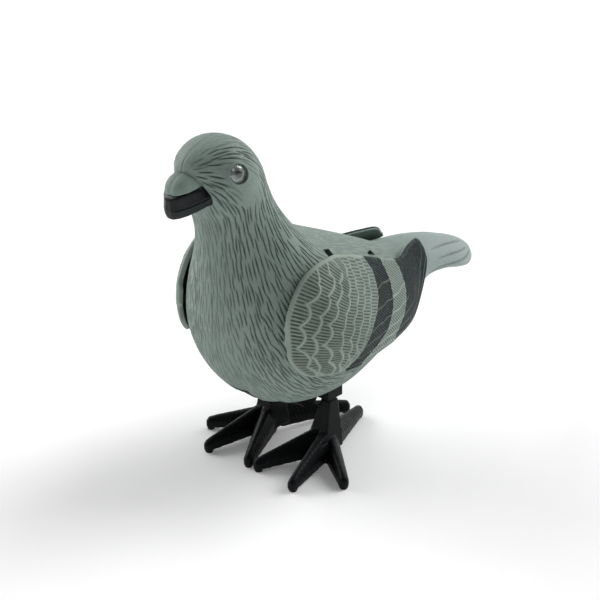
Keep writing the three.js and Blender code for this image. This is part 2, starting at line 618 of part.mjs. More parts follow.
function bellyFrame() {
  const plate = insetLoft(0).subtract(insetLoft(FRAME.plate));
  const flush = footprint(0, 15, 40).intersect(plate);
  const trough = box(-FRAME.halfX, FRAME.halfX, FRAME.y0, FRAME.y1, 22, FRAME.top).intersect(insetLoft(0));
  const boss = box(-FRONT_TONGUE.halfX, FRONT_TONGUE.halfX, FRONT_TONGUE.y0 + 1, FRAME.y0 + 1, 22, 36)
    .intersect(insetLoft(0));
  const pods = SIDES.map(([, side]) => {
    const x = side * HIP.x;
    return box(x - POD.halfX, x + POD.halfX, HIP.y - POD.halfY, HIP.y + POD.halfY, POD.bottom, POD.top);
  });
  const cavity = box(-CAVITY.halfX, CAVITY.halfX, CAVITY.y0, CAVITY.y1, 29.0, CAVITY.top);
  const neckSlots = SIDES.map(([, side]) => box(side * HIP.x - 1.6, side * HIP.x + 1.6,
    HIP.y - 2.6, HIP.y + 2.6, 10, 50));
  const hipBores = SIDES.map(([, side]) => rodX(HIP.pinR + 0.02, side * HIP.x - HIP.pinHalf - 0.1,
    side * HIP.x + HIP.pinHalf + 0.1, HIP.y, HIP.z, 20));
  const knobSlot = box(-SWITCH.slotHalfX, SWITCH.slotHalfX, SWITCH.y - 1.5, SWITCH.y + 1.5, 20, 45);
  const switchBay = box(-4.8, 4.8, SWITCH.y - 3.2, SWITCH.y + 3.2, 34.2, 45);
  const screwHole = Manifold.cylinder(20, 1.05, 1.05, 16).translate([0, DOOR.screwY, 20]);
  return unite([flush, trough, boss, ...pods]).subtract(unite([
    cavity, doorOutline(0.25, 10, 32.8), ...neckSlots, ...hipBores, knobSlot, switchBay, screwHole,
  ]));
}
addSolid('belly_frame', bellyFrame(), MATERIALS.black);

function batteryDoor() {
  const panel = insetLoft(0).subtract(insetLoft(DOOR.thick)).intersect(doorOutline(0, 10, 40));
  const grip = rodX(GRIP.r, -GRIP.halfX, GRIP.halfX, GRIP.y, GRIP.z, 36).subtract(insetLoft(1.2));
  const boss = Manifold.cylinder(5, 2.7, 2.7, 24).translate([0, DOOR.screwY, DOOR.bossTop - 5])
    .intersect(insetLoft(0));
  const tabHole = Manifold.cylinder(30, 1.15, 1.15, 16).translate([0, DOOR.screwY, 15]);
  const headHole = Manifold.cylinder(16, 1.95, 1.95, 20).translate([0, DOOR.screwY, DOOR.seatZ - 16]);
  return unite([panel, grip, boss]).subtract(unite([tabHole, headHole]));
}
addSolid('battery_door', batteryDoor(), MATERIALS.black);

const doorScrew = unite([
  Manifold.cylinder(1.1, 1.75, 1.75, 20).translate([0, DOOR.screwY, DOOR.seatZ - 1.15]),
  Manifold.cylinder(5.6, 1.0, 1.0, 12).translate([0, DOOR.screwY, DOOR.seatZ - 0.5]),
]);
addSolid('battery_door_screw', doorScrew, MATERIALS.pin);

for (const [index, x] of [[1, CELL.x], [2, -CELL.x]]) {
  const can = Manifold.cylinder(CELL.length, CELL.r, CELL.r, 32);
  const nipple = Manifold.cylinder(CELL.nipple + 1, 1.9, 1.9, 20).translate([0, 0, CELL.length - 1]);
  const cell = unite([can, nipple]).rotate([-90, 0, 0]);
  const turned = index === 1 ? cell.translate([x, CELL.y0, CELL.z])
    : cell.rotate([0, 0, 180]).translate([x, CELL.y0 + CELL.length + CELL.nipple, CELL.z]);
  addSolid(`battery_${index}`, turned, MATERIALS.cell);
}

// Contact plates; each has a raised dimple that meets the cells.
const CONTACTS = [
  ['battery_contact_front', CAVITY.y0, CELL.y0],
  ['battery_contact_rear', CAVITY.y1 - CONTACT.thick, CELL.y0 + CELL.length + CELL.nipple],
];
for (const [name, y, cellEnd] of CONTACTS) {
  const plate = box(-CONTACT.halfX, CONTACT.halfX, y, y + CONTACT.thick, CONTACT.z0, CONTACT.z1);
  const from = cellEnd > y ? y : cellEnd + 0.15;
  const to = cellEnd > y ? cellEnd - 0.15 : y + CONTACT.thick;
  const pads = [-1, 1].map((side) => Manifold.cylinder(to - from, 2.2, 1.6, 20)
    .rotate([-90, 0, 0]).translate([side * CELL.x, from, CELL.z]));
  addSolid(name, unite([plate, ...pads]), MATERIALS.brass);
}

addSolid('switch_body', box(-4.5, 4.5, SWITCH.y - 2.9, SWITCH.y + 2.9, 34.6, 38.6), MATERIALS.white);
const knobPoints = SWITCH.knobX.flatMap((x) => [
  [x, SWITCH.y - 1.2, 29.9], [x, SWITCH.y + 1.2, 31.3],
  [x, SWITCH.y - 1.2, 34.3], [x, SWITCH.y + 1.2, 34.3],
]);
addSolid('switch_knob', Manifold.hull(knobPoints), MATERIALS.black);

function lead(points, r) {
  const path = new THREE.CatmullRomCurve3(points.map((p) => new THREE.Vector3(...p)));
  const ring = new THREE.Shape();
  ring.absarc(0, 0, r, 0, 2 * Math.PI, false);
  const settings = { steps: 24, extrudePath: path, curveSegments: 4, bevelEnabled: false };
  return new THREE.ExtrudeGeometry(ring, settings);
}
addMesh('motor_lead_red', lead([
  [-15.5, 4.6, 48.0], [-15.8, 8.5, 43.0], [-12.0, 13.0, 40.0], [-5.6, 13.0, 38.0],
], 0.6), MATERIALS.red);
addMesh('motor_lead_black', lead([
  [-15.5, 9.8, 51.5], [-14.6, 14.6, 48.0], [-9.0, 17.4, 43.2], [-5.6, 13.6, 40.2],
], 0.6), MATERIALS.black);

// ---------------------------------------------------------------- eyes
for (const [name, side] of SIDES) {
  const { x, y, z, lensR, pupilR } = EYE;
  const dome = Manifold.sphere(5.2, 40).translate([x - 4.2, y, z]);
  const recess = rodX(pupilR + 0.02, x + 0.5, x + 4, y, z, 24);
  const lens = rodX(lensR, x - 0.9, x + 3, y, z, 32).intersect(dome).subtract(recess);
  const pupil = rodX(pupilR, x + 0.5, x + 0.85, y, z, 24);
  addSolid(`eye_lens_${name}`, side > 0 ? lens : lens.mirror([1, 0, 0]), MATERIALS.lens);
  addSolid(`eye_pupil_${name}`, side > 0 ? pupil : pupil.mirror([1, 0, 0]), MATERIALS.black);
}

// ---------------------------------------------------------------- shell halves and their screws
function shell() {
  const bosses = SHELL_SCREWS.map(([y, z]) => rodX(2.9, -40, 40, y, z, 20).intersect(bodyOuter));
  const screwCuts = SHELL_SCREWS.flatMap(([y, z]) => [
    rodX(1.25, -9, 7, y, z, 16), rodX(2.5, -40, -8, y, z, 20),
  ]);
  const slots = SIDES.flatMap(([, side]) => ARMS.map((arm) => armSlot(side, arm)));
  const sockets = SIDES.map(([, side]) => {
    const ends = [side * (EYE.x - 1.0), side * 30].sort((a, b) => a - b);
    return rodX(EYE.socketR, ends[0], ends[1], EYE.y, EYE.z, 32);
  });
  const hollow = bodyOuter.add(cere).subtract(bodyInner);
  return hollow.add(unite(bosses)).subtract(unite([
    ...screwCuts, ...slots, ...sockets, footprint(0.25, 10, 42), beakSolid(0.2),
  ]));
}

const wholeShell = shell();
for (const [name, side] of SIDES) {
  const half = wholeShell.trimByPlane([side, 0, 0], 0);
  const pieces = half.decompose().sort((a, b) => b.volume() - a.volume());
  addSolid(`body_shell_${name}`, pieces[0], MATERIALS.plumage);
}

SHELL_SCREWS.forEach(([y, z], i) => {
  const head = rodX(2.2, -9.4, -8.05, y, z, 20);
  const shank = rodX(1.2, -8.3, 6, y, z, 16);
  addSolid(`shell_screw_${i + 1}`, unite([head, shank]), MATERIALS.pin);
});

export default group;
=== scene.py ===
"""Looks of the model pigeon: carved feather relief, painted wings, beak, eyes and feet."""

import math

import bmesh
import bpy
import numpy as np
from mathutils import Matrix, Vector
from mathutils.bvhtree import BVHTree


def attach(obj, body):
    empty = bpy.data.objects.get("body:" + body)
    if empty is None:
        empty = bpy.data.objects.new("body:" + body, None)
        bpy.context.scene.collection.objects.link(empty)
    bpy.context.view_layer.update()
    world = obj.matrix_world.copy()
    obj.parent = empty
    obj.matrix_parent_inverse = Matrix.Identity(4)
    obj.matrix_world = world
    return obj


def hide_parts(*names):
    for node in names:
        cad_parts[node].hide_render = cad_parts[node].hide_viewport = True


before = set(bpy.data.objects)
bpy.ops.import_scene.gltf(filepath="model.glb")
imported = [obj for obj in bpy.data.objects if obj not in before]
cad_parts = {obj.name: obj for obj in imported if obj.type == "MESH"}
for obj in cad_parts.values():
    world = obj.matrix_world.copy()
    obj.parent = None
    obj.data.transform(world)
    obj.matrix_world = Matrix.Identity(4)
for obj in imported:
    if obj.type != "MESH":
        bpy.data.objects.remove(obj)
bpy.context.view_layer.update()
scene = bpy.context.scene

# ------------ sizes, in millimetres
MM = 0.001
SIDES = (("left", 1), ("right", -1))

# Body. Stations from tail end to forehead: back point (y, z), breast point (y, z), half width, arch.
BODY_STATIONS = np.array([
    [73.0, 45.0, 73.0, 43.0, 1.4, 0.0],
    [71.5, 47.0, 71.0, 43.0, 3.8, 1.0],
    [68.0, 49.5, 67.5, 43.0, 6.8, 2.5],
    [63.0, 52.0, 62.0, 44.0, 9.4, 4.0],
    [56.0, 54.5, 55.0, 45.0, 11.0, 4.0],
    [48.0, 57.0, 47.0, 46.0, 11.0, 3.5],
    [38.0, 59.0, 37.0, 44.0, 11.5, 1.5],
    [30.0, 59.5, 28.5, 39.5, 13.5, 0.0],
    [22.0, 60.5, 19.5, 35.5, 16.0, 0.0],
    [9.5, 66.0, 7.5, 28.0, 21.0, 0.0],
    [-4.5, 72.0, -6.5, 23.5, 25.5, 0.0],
    [-18.0, 77.5, -22.5, 21.5, 29.0, 0.0],
    [-26.5, 81.5, -40.5, 25.5, 31.0, 0.0],
    [-31.0, 85.5, -52.0, 37.0, 26.5, 0.0],
    [-34.0, 90.0, -57.0, 53.0, 20.0, 0.0],
    [-36.5, 95.0, -57.5, 68.5, 15.0, 0.0],
    [-38.5, 100.5, -58.0, 81.0, 12.5, 0.0],
    [-41.5, 107.0, -59.5, 89.5, 13.0, 0.0],
    [-46.5, 112.5, -61.5, 93.0, 13.5, 0.0],
    [-53.0, 115.0, -63.5, 97.0, 12.0, 0.0],
    [-60.0, 114.0, -64.5, 100.0, 8.5, 0.0],
    [-66.0, 110.5, -66.5, 104.0, 4.0, 0.0],
    [-67.5, 107.0, -67.0, 106.5, 0.9, 0.0],
])
WALL = 1.8
TAIL_END, RUMP, HEAD = 6.5, 8.5, 17.0  # stations where tail and rump end and the head begins
ALONG_STEP, ACROSS_STEP = 0.8, 0.22  # spacing of the body's vertices
PARTING_DEPTH, PARTING_WIDTH = 0.15, 0.32
DASH_COUNT, DASH_LENGTH, DASH_PITCH = 40000, 6.4, 0.88  # places tried, mean length, least gap
DASH_DEPTH, DASH_HALF_WIDTH = 0.36, 0.29
TAIL_GROOVES = ((4.3, 0.62, 24.0), (4.1, 0.98, 24.0), (4.1, 1.38, 36.0))  # station, angle, length
SHELL_SCREWS = ((-46.0, 63.0), (-36.5, 47.5), (21.5, 50.0))
BOSS_R, SCREW_R, SCREW_HEAD_R = 2.9, 1.25, 2.5
HIP_X, HIP_Y, HIP_Z = 13.0, -19.0, 28.0
BELLY_OPENING = (  # lowest x and y, highest x and y of each cut under the belly
    (-11.75, -41.65, 11.75, 8.65), (-4.85, -48.25, 4.85, -40.4), (-6.45, 7.4, 6.45, 17.85),
    (HIP_X - 2.85, HIP_Y - 3.65, HIP_X + 2.85, HIP_Y + 3.65),
)

# Cere and beak. Stations from base to tip: (half width, y, z) of top edge, mouth and lower edge.
CERE_CENTRE, CERE_RADII = (0.8, -65.9, 101.8), (4.7, 6.3, 5.1)
BEAK_RIDGE = ((-73.5, 99.9), (-64.4, 103.0))  # y and z of the line that the cere sits on
BEAK_SEAT_GAP = 0.2
BEAK_STATIONS = np.array([
    [[5.6, -64.4, 103.3], [7.0, -62.6, 99.9], [6.3, -61.2, 97.1]],
    [[5.7, -66.2, 103.1], [6.7, -64.8, 99.3], [5.9, -63.4, 96.6]],
    [[5.4, -68.2, 102.7], [6.1, -67.2, 98.7], [5.2, -66.2, 95.8]],
    [[4.6, -70.1, 102.1], [5.1, -69.6, 98.1], [4.2, -68.9, 95.0]],
    [[3.4, -71.7, 101.3], [3.7, -71.6, 97.5], [2.9, -71.1, 94.5]],
    [[2.0, -72.7, 100.4], [2.2, -72.8, 97.0], [1.6, -72.4, 94.3]],
    [[0.8, -73.1, 99.6], [0.9, -73.3, 96.9], [0.6, -72.9, 94.7]],
])

# Eyes. Each is a dome of radius DOME_R, cut from a ball and seated in a round socket.
EYE_STATION, EYE_ANGLE = 18.8, 1.48
EYE_OUTWARD = 0.25  # how much further to the side than the head's surface it looks
SOCKET_R, EYE_SEAT, EYE_LIP = 2.95, 1.9, 0.34
DOME_R, DOME_BALL, PUPIL_BALL, PUPIL_ANGLE = 2.8, 4.7, 4.73, 0.24

# Wing. Sections along Y: y, top x, top z, bottom x, bottom z, bulge.
WING_SECTIONS = np.array([
    [-50.5, 22.5, 59.5, 23.0, 55.0, 0.1], [-49.5, 23.0, 64.0, 23.5, 48.5, 1.5],
    [-45.0, 23.0, 71.5, 26.0, 43.0, 4.5], [-39.5, 23.5, 75.5, 29.0, 42.0, 6.5],
    [-32.0, 23.0, 76.5, 31.0, 41.5, 7.0], [-25.0, 21.5, 75.5, 31.0, 41.0, 7.0],
    [-11.0, 19.0, 70.5, 28.5, 40.5, 5.5], [-0.6, 18.0, 66.5, 25.5, 39.5, 4.5],
    [13.0, 15.5, 62.0, 22.0, 41.0, 3.0], [23.5, 11.5, 62.3, 18.0, 47.5, 1.0],
    [31.0, 9.0, 62.1, 14.0, 54.0, 0.5], [34.5, 8.6, 58.8, 9.6, 57.0, 0.1],
])
WING_THICK = 1.6
WING_ROWS, BACK_COLUMNS, BACK_ROWS = 150, 8, 15  # rows of the face, steps of the plain back
# Where each feather row ends, as y at these heights; the last three bound the painted bands.
ROW_Z = np.array([43.0, 48.0, 54.0, 60.0, 66.0, 72.0])
ROW_ENDS = np.array([
    [-45.0, -48.5, -50.3, -50.5, -49.0, -45.5], [-43.0, -45.5, -48.0, -47.0, -44.5, -39.0],
    [-41.0, -44.0, -45.0, -44.0, -40.0, -34.0], [-37.5, -40.0, -42.0, -40.5, -36.0, -30.0],
    [-35.7, -36.5, -37.5, -36.0, -31.0, -26.0], [-34.9, -33.6, -34.0, -31.5, -26.0, -22.0],
    [-34.3, -31.2, -31.0, -27.0, -20.0, -17.0], [-33.7, -29.5, -26.0, -21.0, -15.0, -13.0],
    [-33.0, -27.8, -22.0, -14.0, -10.0, -11.0], [-25.0, -11.5, -5.0, -2.0, -1.0, -2.0],
    [-3.0, 3.0, 7.0, 8.5, 8.0, 8.0],
])
# Length and depth of the scallops along the end of each row; row 0 has none.
SCALLOP_LENGTH = (0, 7.0, 6.6, 6.4, 5.6, 5.2, 5.2, 5.0, 2.0, 2.2, 2.2)
SCALLOP_DEPTH = (0, 1.5, 1.5, 1.4, 0.9, 0.85, 0.85, 0.8, 0.35, 0.4, 0.4)
FIRST_BAND, LIGHT_BAND, LAST_BAND = 8, 9, 10  # row numbers of the painted bands
FEATHER_EDGES = (2.0, 4.6, 7.8, 11.6, 16.0, 21.0, 26.5)  # distances from the lower edge
RIM, RIM_ROUND = 0.75, 0.8
HINGE_X, HINGE_Y, HINGE_Z, HINGE_SLOPE = 7.0, -25.0, 65.0, 0.08
ARMS = ((-25.0, 22.4, 73.8), (1.4, 18.2, 64.3))  # y, x and z of each arm's outer end
ARM_HALF, ARM_THICK, FLAP = 1.5, 1.2, math.radians(12)
SLOT_GAP = 0.6

# Legs. Each toe is its tip, its root and the height of its ridge at the root.
TOES = (
    ((2.2, -41.6), (11.5, -22.5), 11.6), ((18.9, -43.4), (14.0, -22.0), 11.6),
    ((29.9, -31.6), (14.6, -20.5), 9.8), ((3.0, 8.0), (12.0, -17.5), 10.6),
)
# Shank sections: z, then how far it reaches inward, outward, forward and back.
SHANK = ((4.0, 5.2, 3.3, 6.0, 3.3), (9.5, 4.5, 3.1, 5.0, 3.1), (16.0, 2.9, 2.3, 3.0, 2.5),
         (21.4, 1.9, 1.9, 2.1, 2.1))
LEVER_HALF, LEVER_TOP = 1.2, 56.0


# ------------ colours
def srgb(r, g, b):
    """A linear colour from 8-bit sRGB."""
    def linear(c):
        c /= 255
        return c / 12.92 if c <= 0.04045 else ((c + 0.055) / 1.055) ** 2.4
    return (linear(r), linear(g), linear(b), 1.0)


BODY_GREY = srgb(122, 138, 131)
BODY_GREY_PALE = srgb(133, 149, 141)
# Painted shade laid into the carved dashes.
BODY_GROOVE_SHADE = srgb(42, 53, 50)
TAIL_GREY = srgb(150, 164, 161)
WING_GREY = srgb(126, 142, 133)
WING_GREY_PALE = srgb(138, 153, 144)
WING_GROOVE = srgb(74, 78, 71)
# Pale feather lines, and also the painted highlight along the wing's rim.
WING_LINE_AND_RIM_HIGHLIGHT = srgb(168, 180, 167)
BAND_DARK = srgb(20, 34, 35)
BAND_BLUE = srgb(44, 61, 61)
BAND_LINE = srgb(138, 150, 146)
BAND_GROOVE = srgb(20, 25, 26)
BLACK = srgb(9, 11, 13)
BLACK_PALE = srgb(15, 18, 20)
# Pale grey for the painted highlight on the toe crests, and for random pale mottling on the beak.
BLACK_MOTTLE_AND_HIGHLIGHT = srgb(44, 50, 52)
BEAK_BLACK = srgb(11, 15, 17)
# Paler charcoal of the beak's lower part: a painted reflection of the floor.
BEAK_LOWER_REFLECTION = srgb(27, 33, 34)
# Eye dome: silvery edge as a painted reflection, darker middle as painted shade of the lens's depth.
EYE_EDGE_REFLECTION = srgb(112, 122, 118)
EYE_EDGE_REFLECTION_PALE = srgb(158, 167, 162)
EYE_SHADE = srgb(62, 72, 70)
PUPIL = srgb(40, 49, 48)
PUPIL_PALE = srgb(66, 76, 73)


# ------------ camera
def add_object(name, data):
    """A new object that holds some data, in the scene."""
    obj = bpy.data.objects.new(name, data)
    scene.collection.objects.link(obj)
    return obj


def make_camera():
    """A view of the left side from the front and a little above."""
    data = bpy.data.cameras.new("camera")
    data.sensor_width = 36.0
    data.lens = 79.2
    data.clip_start = 0.02
    data.clip_end = 10.0
    cam = add_object("camera", data)
    yaw, pitch, roll = (math.radians(a) for a in (47.7, 23.0, -0.5))
    back = Vector((math.cos(yaw) * math.cos(pitch), -math.sin(yaw) * math.cos(pitch), math.sin(pitch)))
    target, distance = Vector((0.0, -0.0185, 0.0522)), 0.4255
    cam.location = target + back * distance
    cam.rotation_mode = "QUATERNION"
    look = (-back).to_track_quat("-Z", "Y")
    turn = Matrix.Rotation(roll, 3, back)
    cam.rotation_quaternion = (turn @ look.to_matrix()).to_quaternion()
    scene.camera = cam


make_camera()


# ------------ mesh helpers
def new_object(name, verts, faces):
    """A mesh object from millimetre vertices."""
    mesh = bpy.data.meshes.new(name)
    mesh.from_pydata([tuple(v) for v in (np.asarray(verts, float) * MM)], [], faces)
    mesh.update()
    return add_object(name, mesh)


def coords(obj):
    co = np.empty(len(obj.data.vertices) * 3)
    obj.data.vertices.foreach_get("co", co)
    return co.reshape(-1, 3) / MM


def set_coords(obj, co):
    obj.data.vertices.foreach_set("co", (np.asarray(co) * MM).ravel())
    obj.data.update()


def vertex_normals(obj):
    normals = np.empty(len(obj.data.vertices) * 3)
    obj.data.vertices.foreach_get("normal", normals)
    return normals.reshape(-1, 3)


def set_attribute(obj, name, values):
    attribute = obj.data.attributes.new(name, "FLOAT", "POINT")
    attribute.data.foreach_set("value", np.asarray(values, np.float32))


def drop(obj):
    mesh = obj.data
    bpy.data.objects.remove(obj)
    bpy.data.meshes.remove(mesh)


def apply_modifier(obj, kind, **settings):
    """Adds a modifier, applies it and leaves the evaluated mesh on the object."""
    modifier = obj.modifiers.new(kind, kind)
    for key, value in settings.items():
        setattr(modifier, key, value)
    graph = bpy.context.evaluated_depsgraph_get()
    mesh = bpy.data.meshes.new_from_object(obj.evaluated_get(graph))
    old = obj.data
    obj.modifiers.clear()
    obj.data = mesh
    mesh.name = obj.name
    bpy.data.meshes.remove(old)


def boolean(obj, cutter, operation="DIFFERENCE"):
    apply_modifier(obj, "BOOLEAN", object=cutter, operation=operation, solver="MANIFOLD")
    drop(cutter)


def smooth(obj, angle=35.0):
    obj.data.shade_smooth()
    obj.data.set_sharp_from_angle(angle=math.radians(angle))


def outward(obj):
    bm = bmesh.new()
    bm.from_mesh(obj.data)
    bmesh.ops.recalc_face_normals(bm, faces=bm.faces)
    bm.to_mesh(obj.data)
    bm.free()
    return obj


def box(name, lo, hi):
    x, y, z = zip(lo, hi)
    verts = [(x[i], y[j], z[k]) for i in (0, 1) for j in (0, 1) for k in (0, 1)]
    faces = [(0, 1, 3, 2), (4, 6, 7, 5), (0, 4, 5, 1), (2, 3, 7, 6), (0, 2, 6, 4), (1, 5, 7, 3)]
    return outward(new_object(name, verts, faces))


def hull(name, points):
    """The convex hull of some millimetre points."""
    bm = bmesh.new()
    for p in points:
        bm.verts.new(Vector(p) * MM)
    found = bmesh.ops.convex_hull(bm, input=bm.verts)
    spare = found["geom_interior"] + found["geom_unused"]
    loose = {v for v in spare if isinstance(v, bmesh.types.BMVert)}
    bmesh.ops.delete(bm, geom=list(loose), context="VERTS")
    mesh = bpy.data.meshes.new(name)
    bm.to_mesh(mesh)
    bm.free()
    return add_object(name, mesh)


def quads(rows, wide, closed=False, start=0):
    """Faces between neighbouring rows of vertices; closed joins the two ends of each row."""
    return [(start + i * wide + j, start + i * wide + (j + 1) % wide,
             start + (i + 1) * wide + (j + 1) % wide, start + (i + 1) * wide + j)
            for i in range(rows - 1) for j in range(wide if closed else wide - 1)]


def lathe(name, profile, start, axis, sides=48):
    """A solid of revolution: profile is (radius, distance along the axis), radius 0 at both ends."""
    axis = Vector(axis).normalized()
    across = axis.orthogonal().normalized()
    other = axis.cross(across)
    verts = []
    for r, d in profile[1:-1]:
        for i in range(sides):
            a = 2 * math.pi * i / sides
            verts.append(Vector(start) + axis * d + (across * math.cos(a) + other * math.sin(a)) * r)
    rings = len(profile) - 2
    faces = quads(rings, sides, closed=True)
    first, last = len(verts), len(verts) + 1
    verts.append(Vector(start) + axis * profile[0][1])
    verts.append(Vector(start) + axis * profile[-1][1])
    for i in range(sides):
        j = (i + 1) % sides
        faces.append((first, j, i))
        faces.append((last, (rings - 1) * sides + i, (rings - 1) * sides + j))
    return outward(new_object(name, verts, faces))


def zipper(a, b, fa, fb):
    """Triangles between two rows of vertex indices, walked by their fractions along the row."""
    i = j = 0
    faces = []
    while i < len(a) - 1 or j < len(b) - 1:
        step_a = fa[i + 1] if i < len(a) - 1 else 9.0
        step_b = fb[j + 1] if j < len(b) - 1 else 9.0
        if step_a <= step_b:
            faces.append((a[i], a[i + 1], b[j]))
            i += 1
        else:
            faces.append((a[i], b[j + 1], b[j]))
            j += 1
    return faces


def running(lengths):
    """Running total of some lengths, from 0."""
    return np.concatenate([[0], np.cumsum(lengths)])


# ------------ body loft
def spline(rows, t):
    """Catmull-Rom through rows at parameter array t."""
    t = np.asarray(t, float)
    last = len(rows) - 1
    i = np.clip(np.floor(t).astype(int), 0, last - 1)
    u = (t - i)[:, None]
    p1, p2 = rows[i], rows[i + 1]
    p0 = np.where((i > 0)[:, None], rows[np.maximum(i - 1, 0)], 2 * p1 - p2)
    p3 = np.where((i + 2 <= last)[:, None], rows[np.minimum(i + 2, last)], 2 * p2 - p1)
    m1, m2 = (p2 - p0) / 2, (p3 - p1) / 2
    return ((2 * u**3 - 3 * u**2 + 1) * p1 + (u**3 - 2 * u**2 + u) * m1
            + (-2 * u**3 + 3 * u**2) * p2 + (u**3 - u**2) * m2)


def body_point(t, theta, grow=0.0):
    """Points of the body surface; theta 0 is the back and pi the breast, left side positive."""
    yd, zd, yv, zv, w, arch = spline(BODY_STATIONS, t).T
    half = np.hypot(yd - yv, zd - zv) / 2
    side = np.sin(theta)
    up = (half + grow) * np.cos(theta) - arch * side * side
    ky, kz = (yd - yv) / (2 * half), (zd - zv) / (2 * half)
    return np.stack([(w + grow) * side, (yd + yv) / 2 + ky * up, (zd + zv) / 2 + kz * up], -1)


def body_frame(t, theta):
    """Point, unit direction towards the head, unit direction towards the breast, and both lengths."""
    t, theta = np.atleast_1d(t), np.atleast_1d(theta)
    p = body_point(t, theta)
    h = 0.02
    last = len(BODY_STATIONS) - 1
    dt = (body_point(np.minimum(t + h, last), theta) - body_point(np.maximum(t - h, 0), theta))
    dt /= (np.minimum(t + h, last) - np.maximum(t - h, 0))[:, None]
    da = (body_point(t, theta + h) - body_point(t, theta - h)) / (2 * h)
    lt, la = np.linalg.norm(dt, axis=1), np.linalg.norm(da, axis=1)
    return p, dt / lt[:, None], da / la[:, None], lt, la


def smoothstep(lo, hi, x):
    u = np.clip((np.asarray(x, float) - lo) / (hi - lo), 0, 1)
    return u * u * (3 - 2 * u)


def dash_strength(t, theta):
    """How deep the carved dashes are at a place: 1 on the neck and flanks, 0 on smooth places."""
    back = smoothstep(1.25, 0.55, theta) * smoothstep(14.5, 12.0, t)
    breast = smoothstep(2.35, 3.0, theta) * smoothstep(9.5, 12.5, t)
    forehead = smoothstep(21.3, 20.5, t + 0.35 * np.cos(theta))
    crown = smoothstep(18.2, 19.6, t) * smoothstep(0.80, 0.40, theta)
    s = smoothstep(TAIL_END, RUMP + 1.0, t) * (1 - 0.62 * back) * (1 - 0.55 * breast)
    s = s * forehead * (1 - 0.9 * crown)
    round_eye = np.hypot((t - EYE_STATION) * 5.0, (theta - EYE_ANGLE) * 11.0)
    behind_eye = np.hypot((t - EYE_STATION + 1.1) * 4.2, (theta - EYE_ANGLE - 0.16) * 10.0)
    return s * smoothstep(3.9, 4.9, round_eye) * smoothstep(3.4, 4.8, behind_eye)


def place_dashes(seed):
    """Carved dashes of one half, scattered at random and kept apart by a stretched distance.

    Each is (station, angle, length, tilt, strength).
    """
    rng = np.random.default_rng(seed)
    n = DASH_COUNT
    t = rng.uniform(TAIL_END, 21.4, n)
    theta = rng.uniform(0.0, math.pi, n)
    length = rng.uniform(0.8, 1.2, n)
    tilt = rng.normal(0.0, 0.05, n)
    p, along, _, lt, la = body_frame(t, theta)
    keep = rng.uniform(0, 1, n) * np.percentile(lt * la, 98) < lt * la
    strength = dash_strength(t, theta)
    kept = []
    chosen_p = np.empty((n, 3))
    for i in np.nonzero(keep & (strength > 0.08))[0]:
        head = smoothstep(HEAD - 1, HEAD + 1, t[i])
        near_beak = smoothstep(19.3, 20.2, t[i])
        mean = (DASH_LENGTH + 0.4 * head) * (1 - 0.35 * near_beak)
        pitch = DASH_PITCH + 0.12 * head
        k = len(kept)
        d = chosen_p[:k] - p[i]
        u = d @ along[i]
        v2 = np.maximum((d * d).sum(1) - u * u, 0)
        if ((u / (0.86 * mean)) ** 2 + v2 / pitch ** 2 < 1).any():
            continue
        chosen_p[k] = p[i]
        kept.append((t[i], theta[i], mean * length[i], tilt[i], float(strength[i])))
    return kept


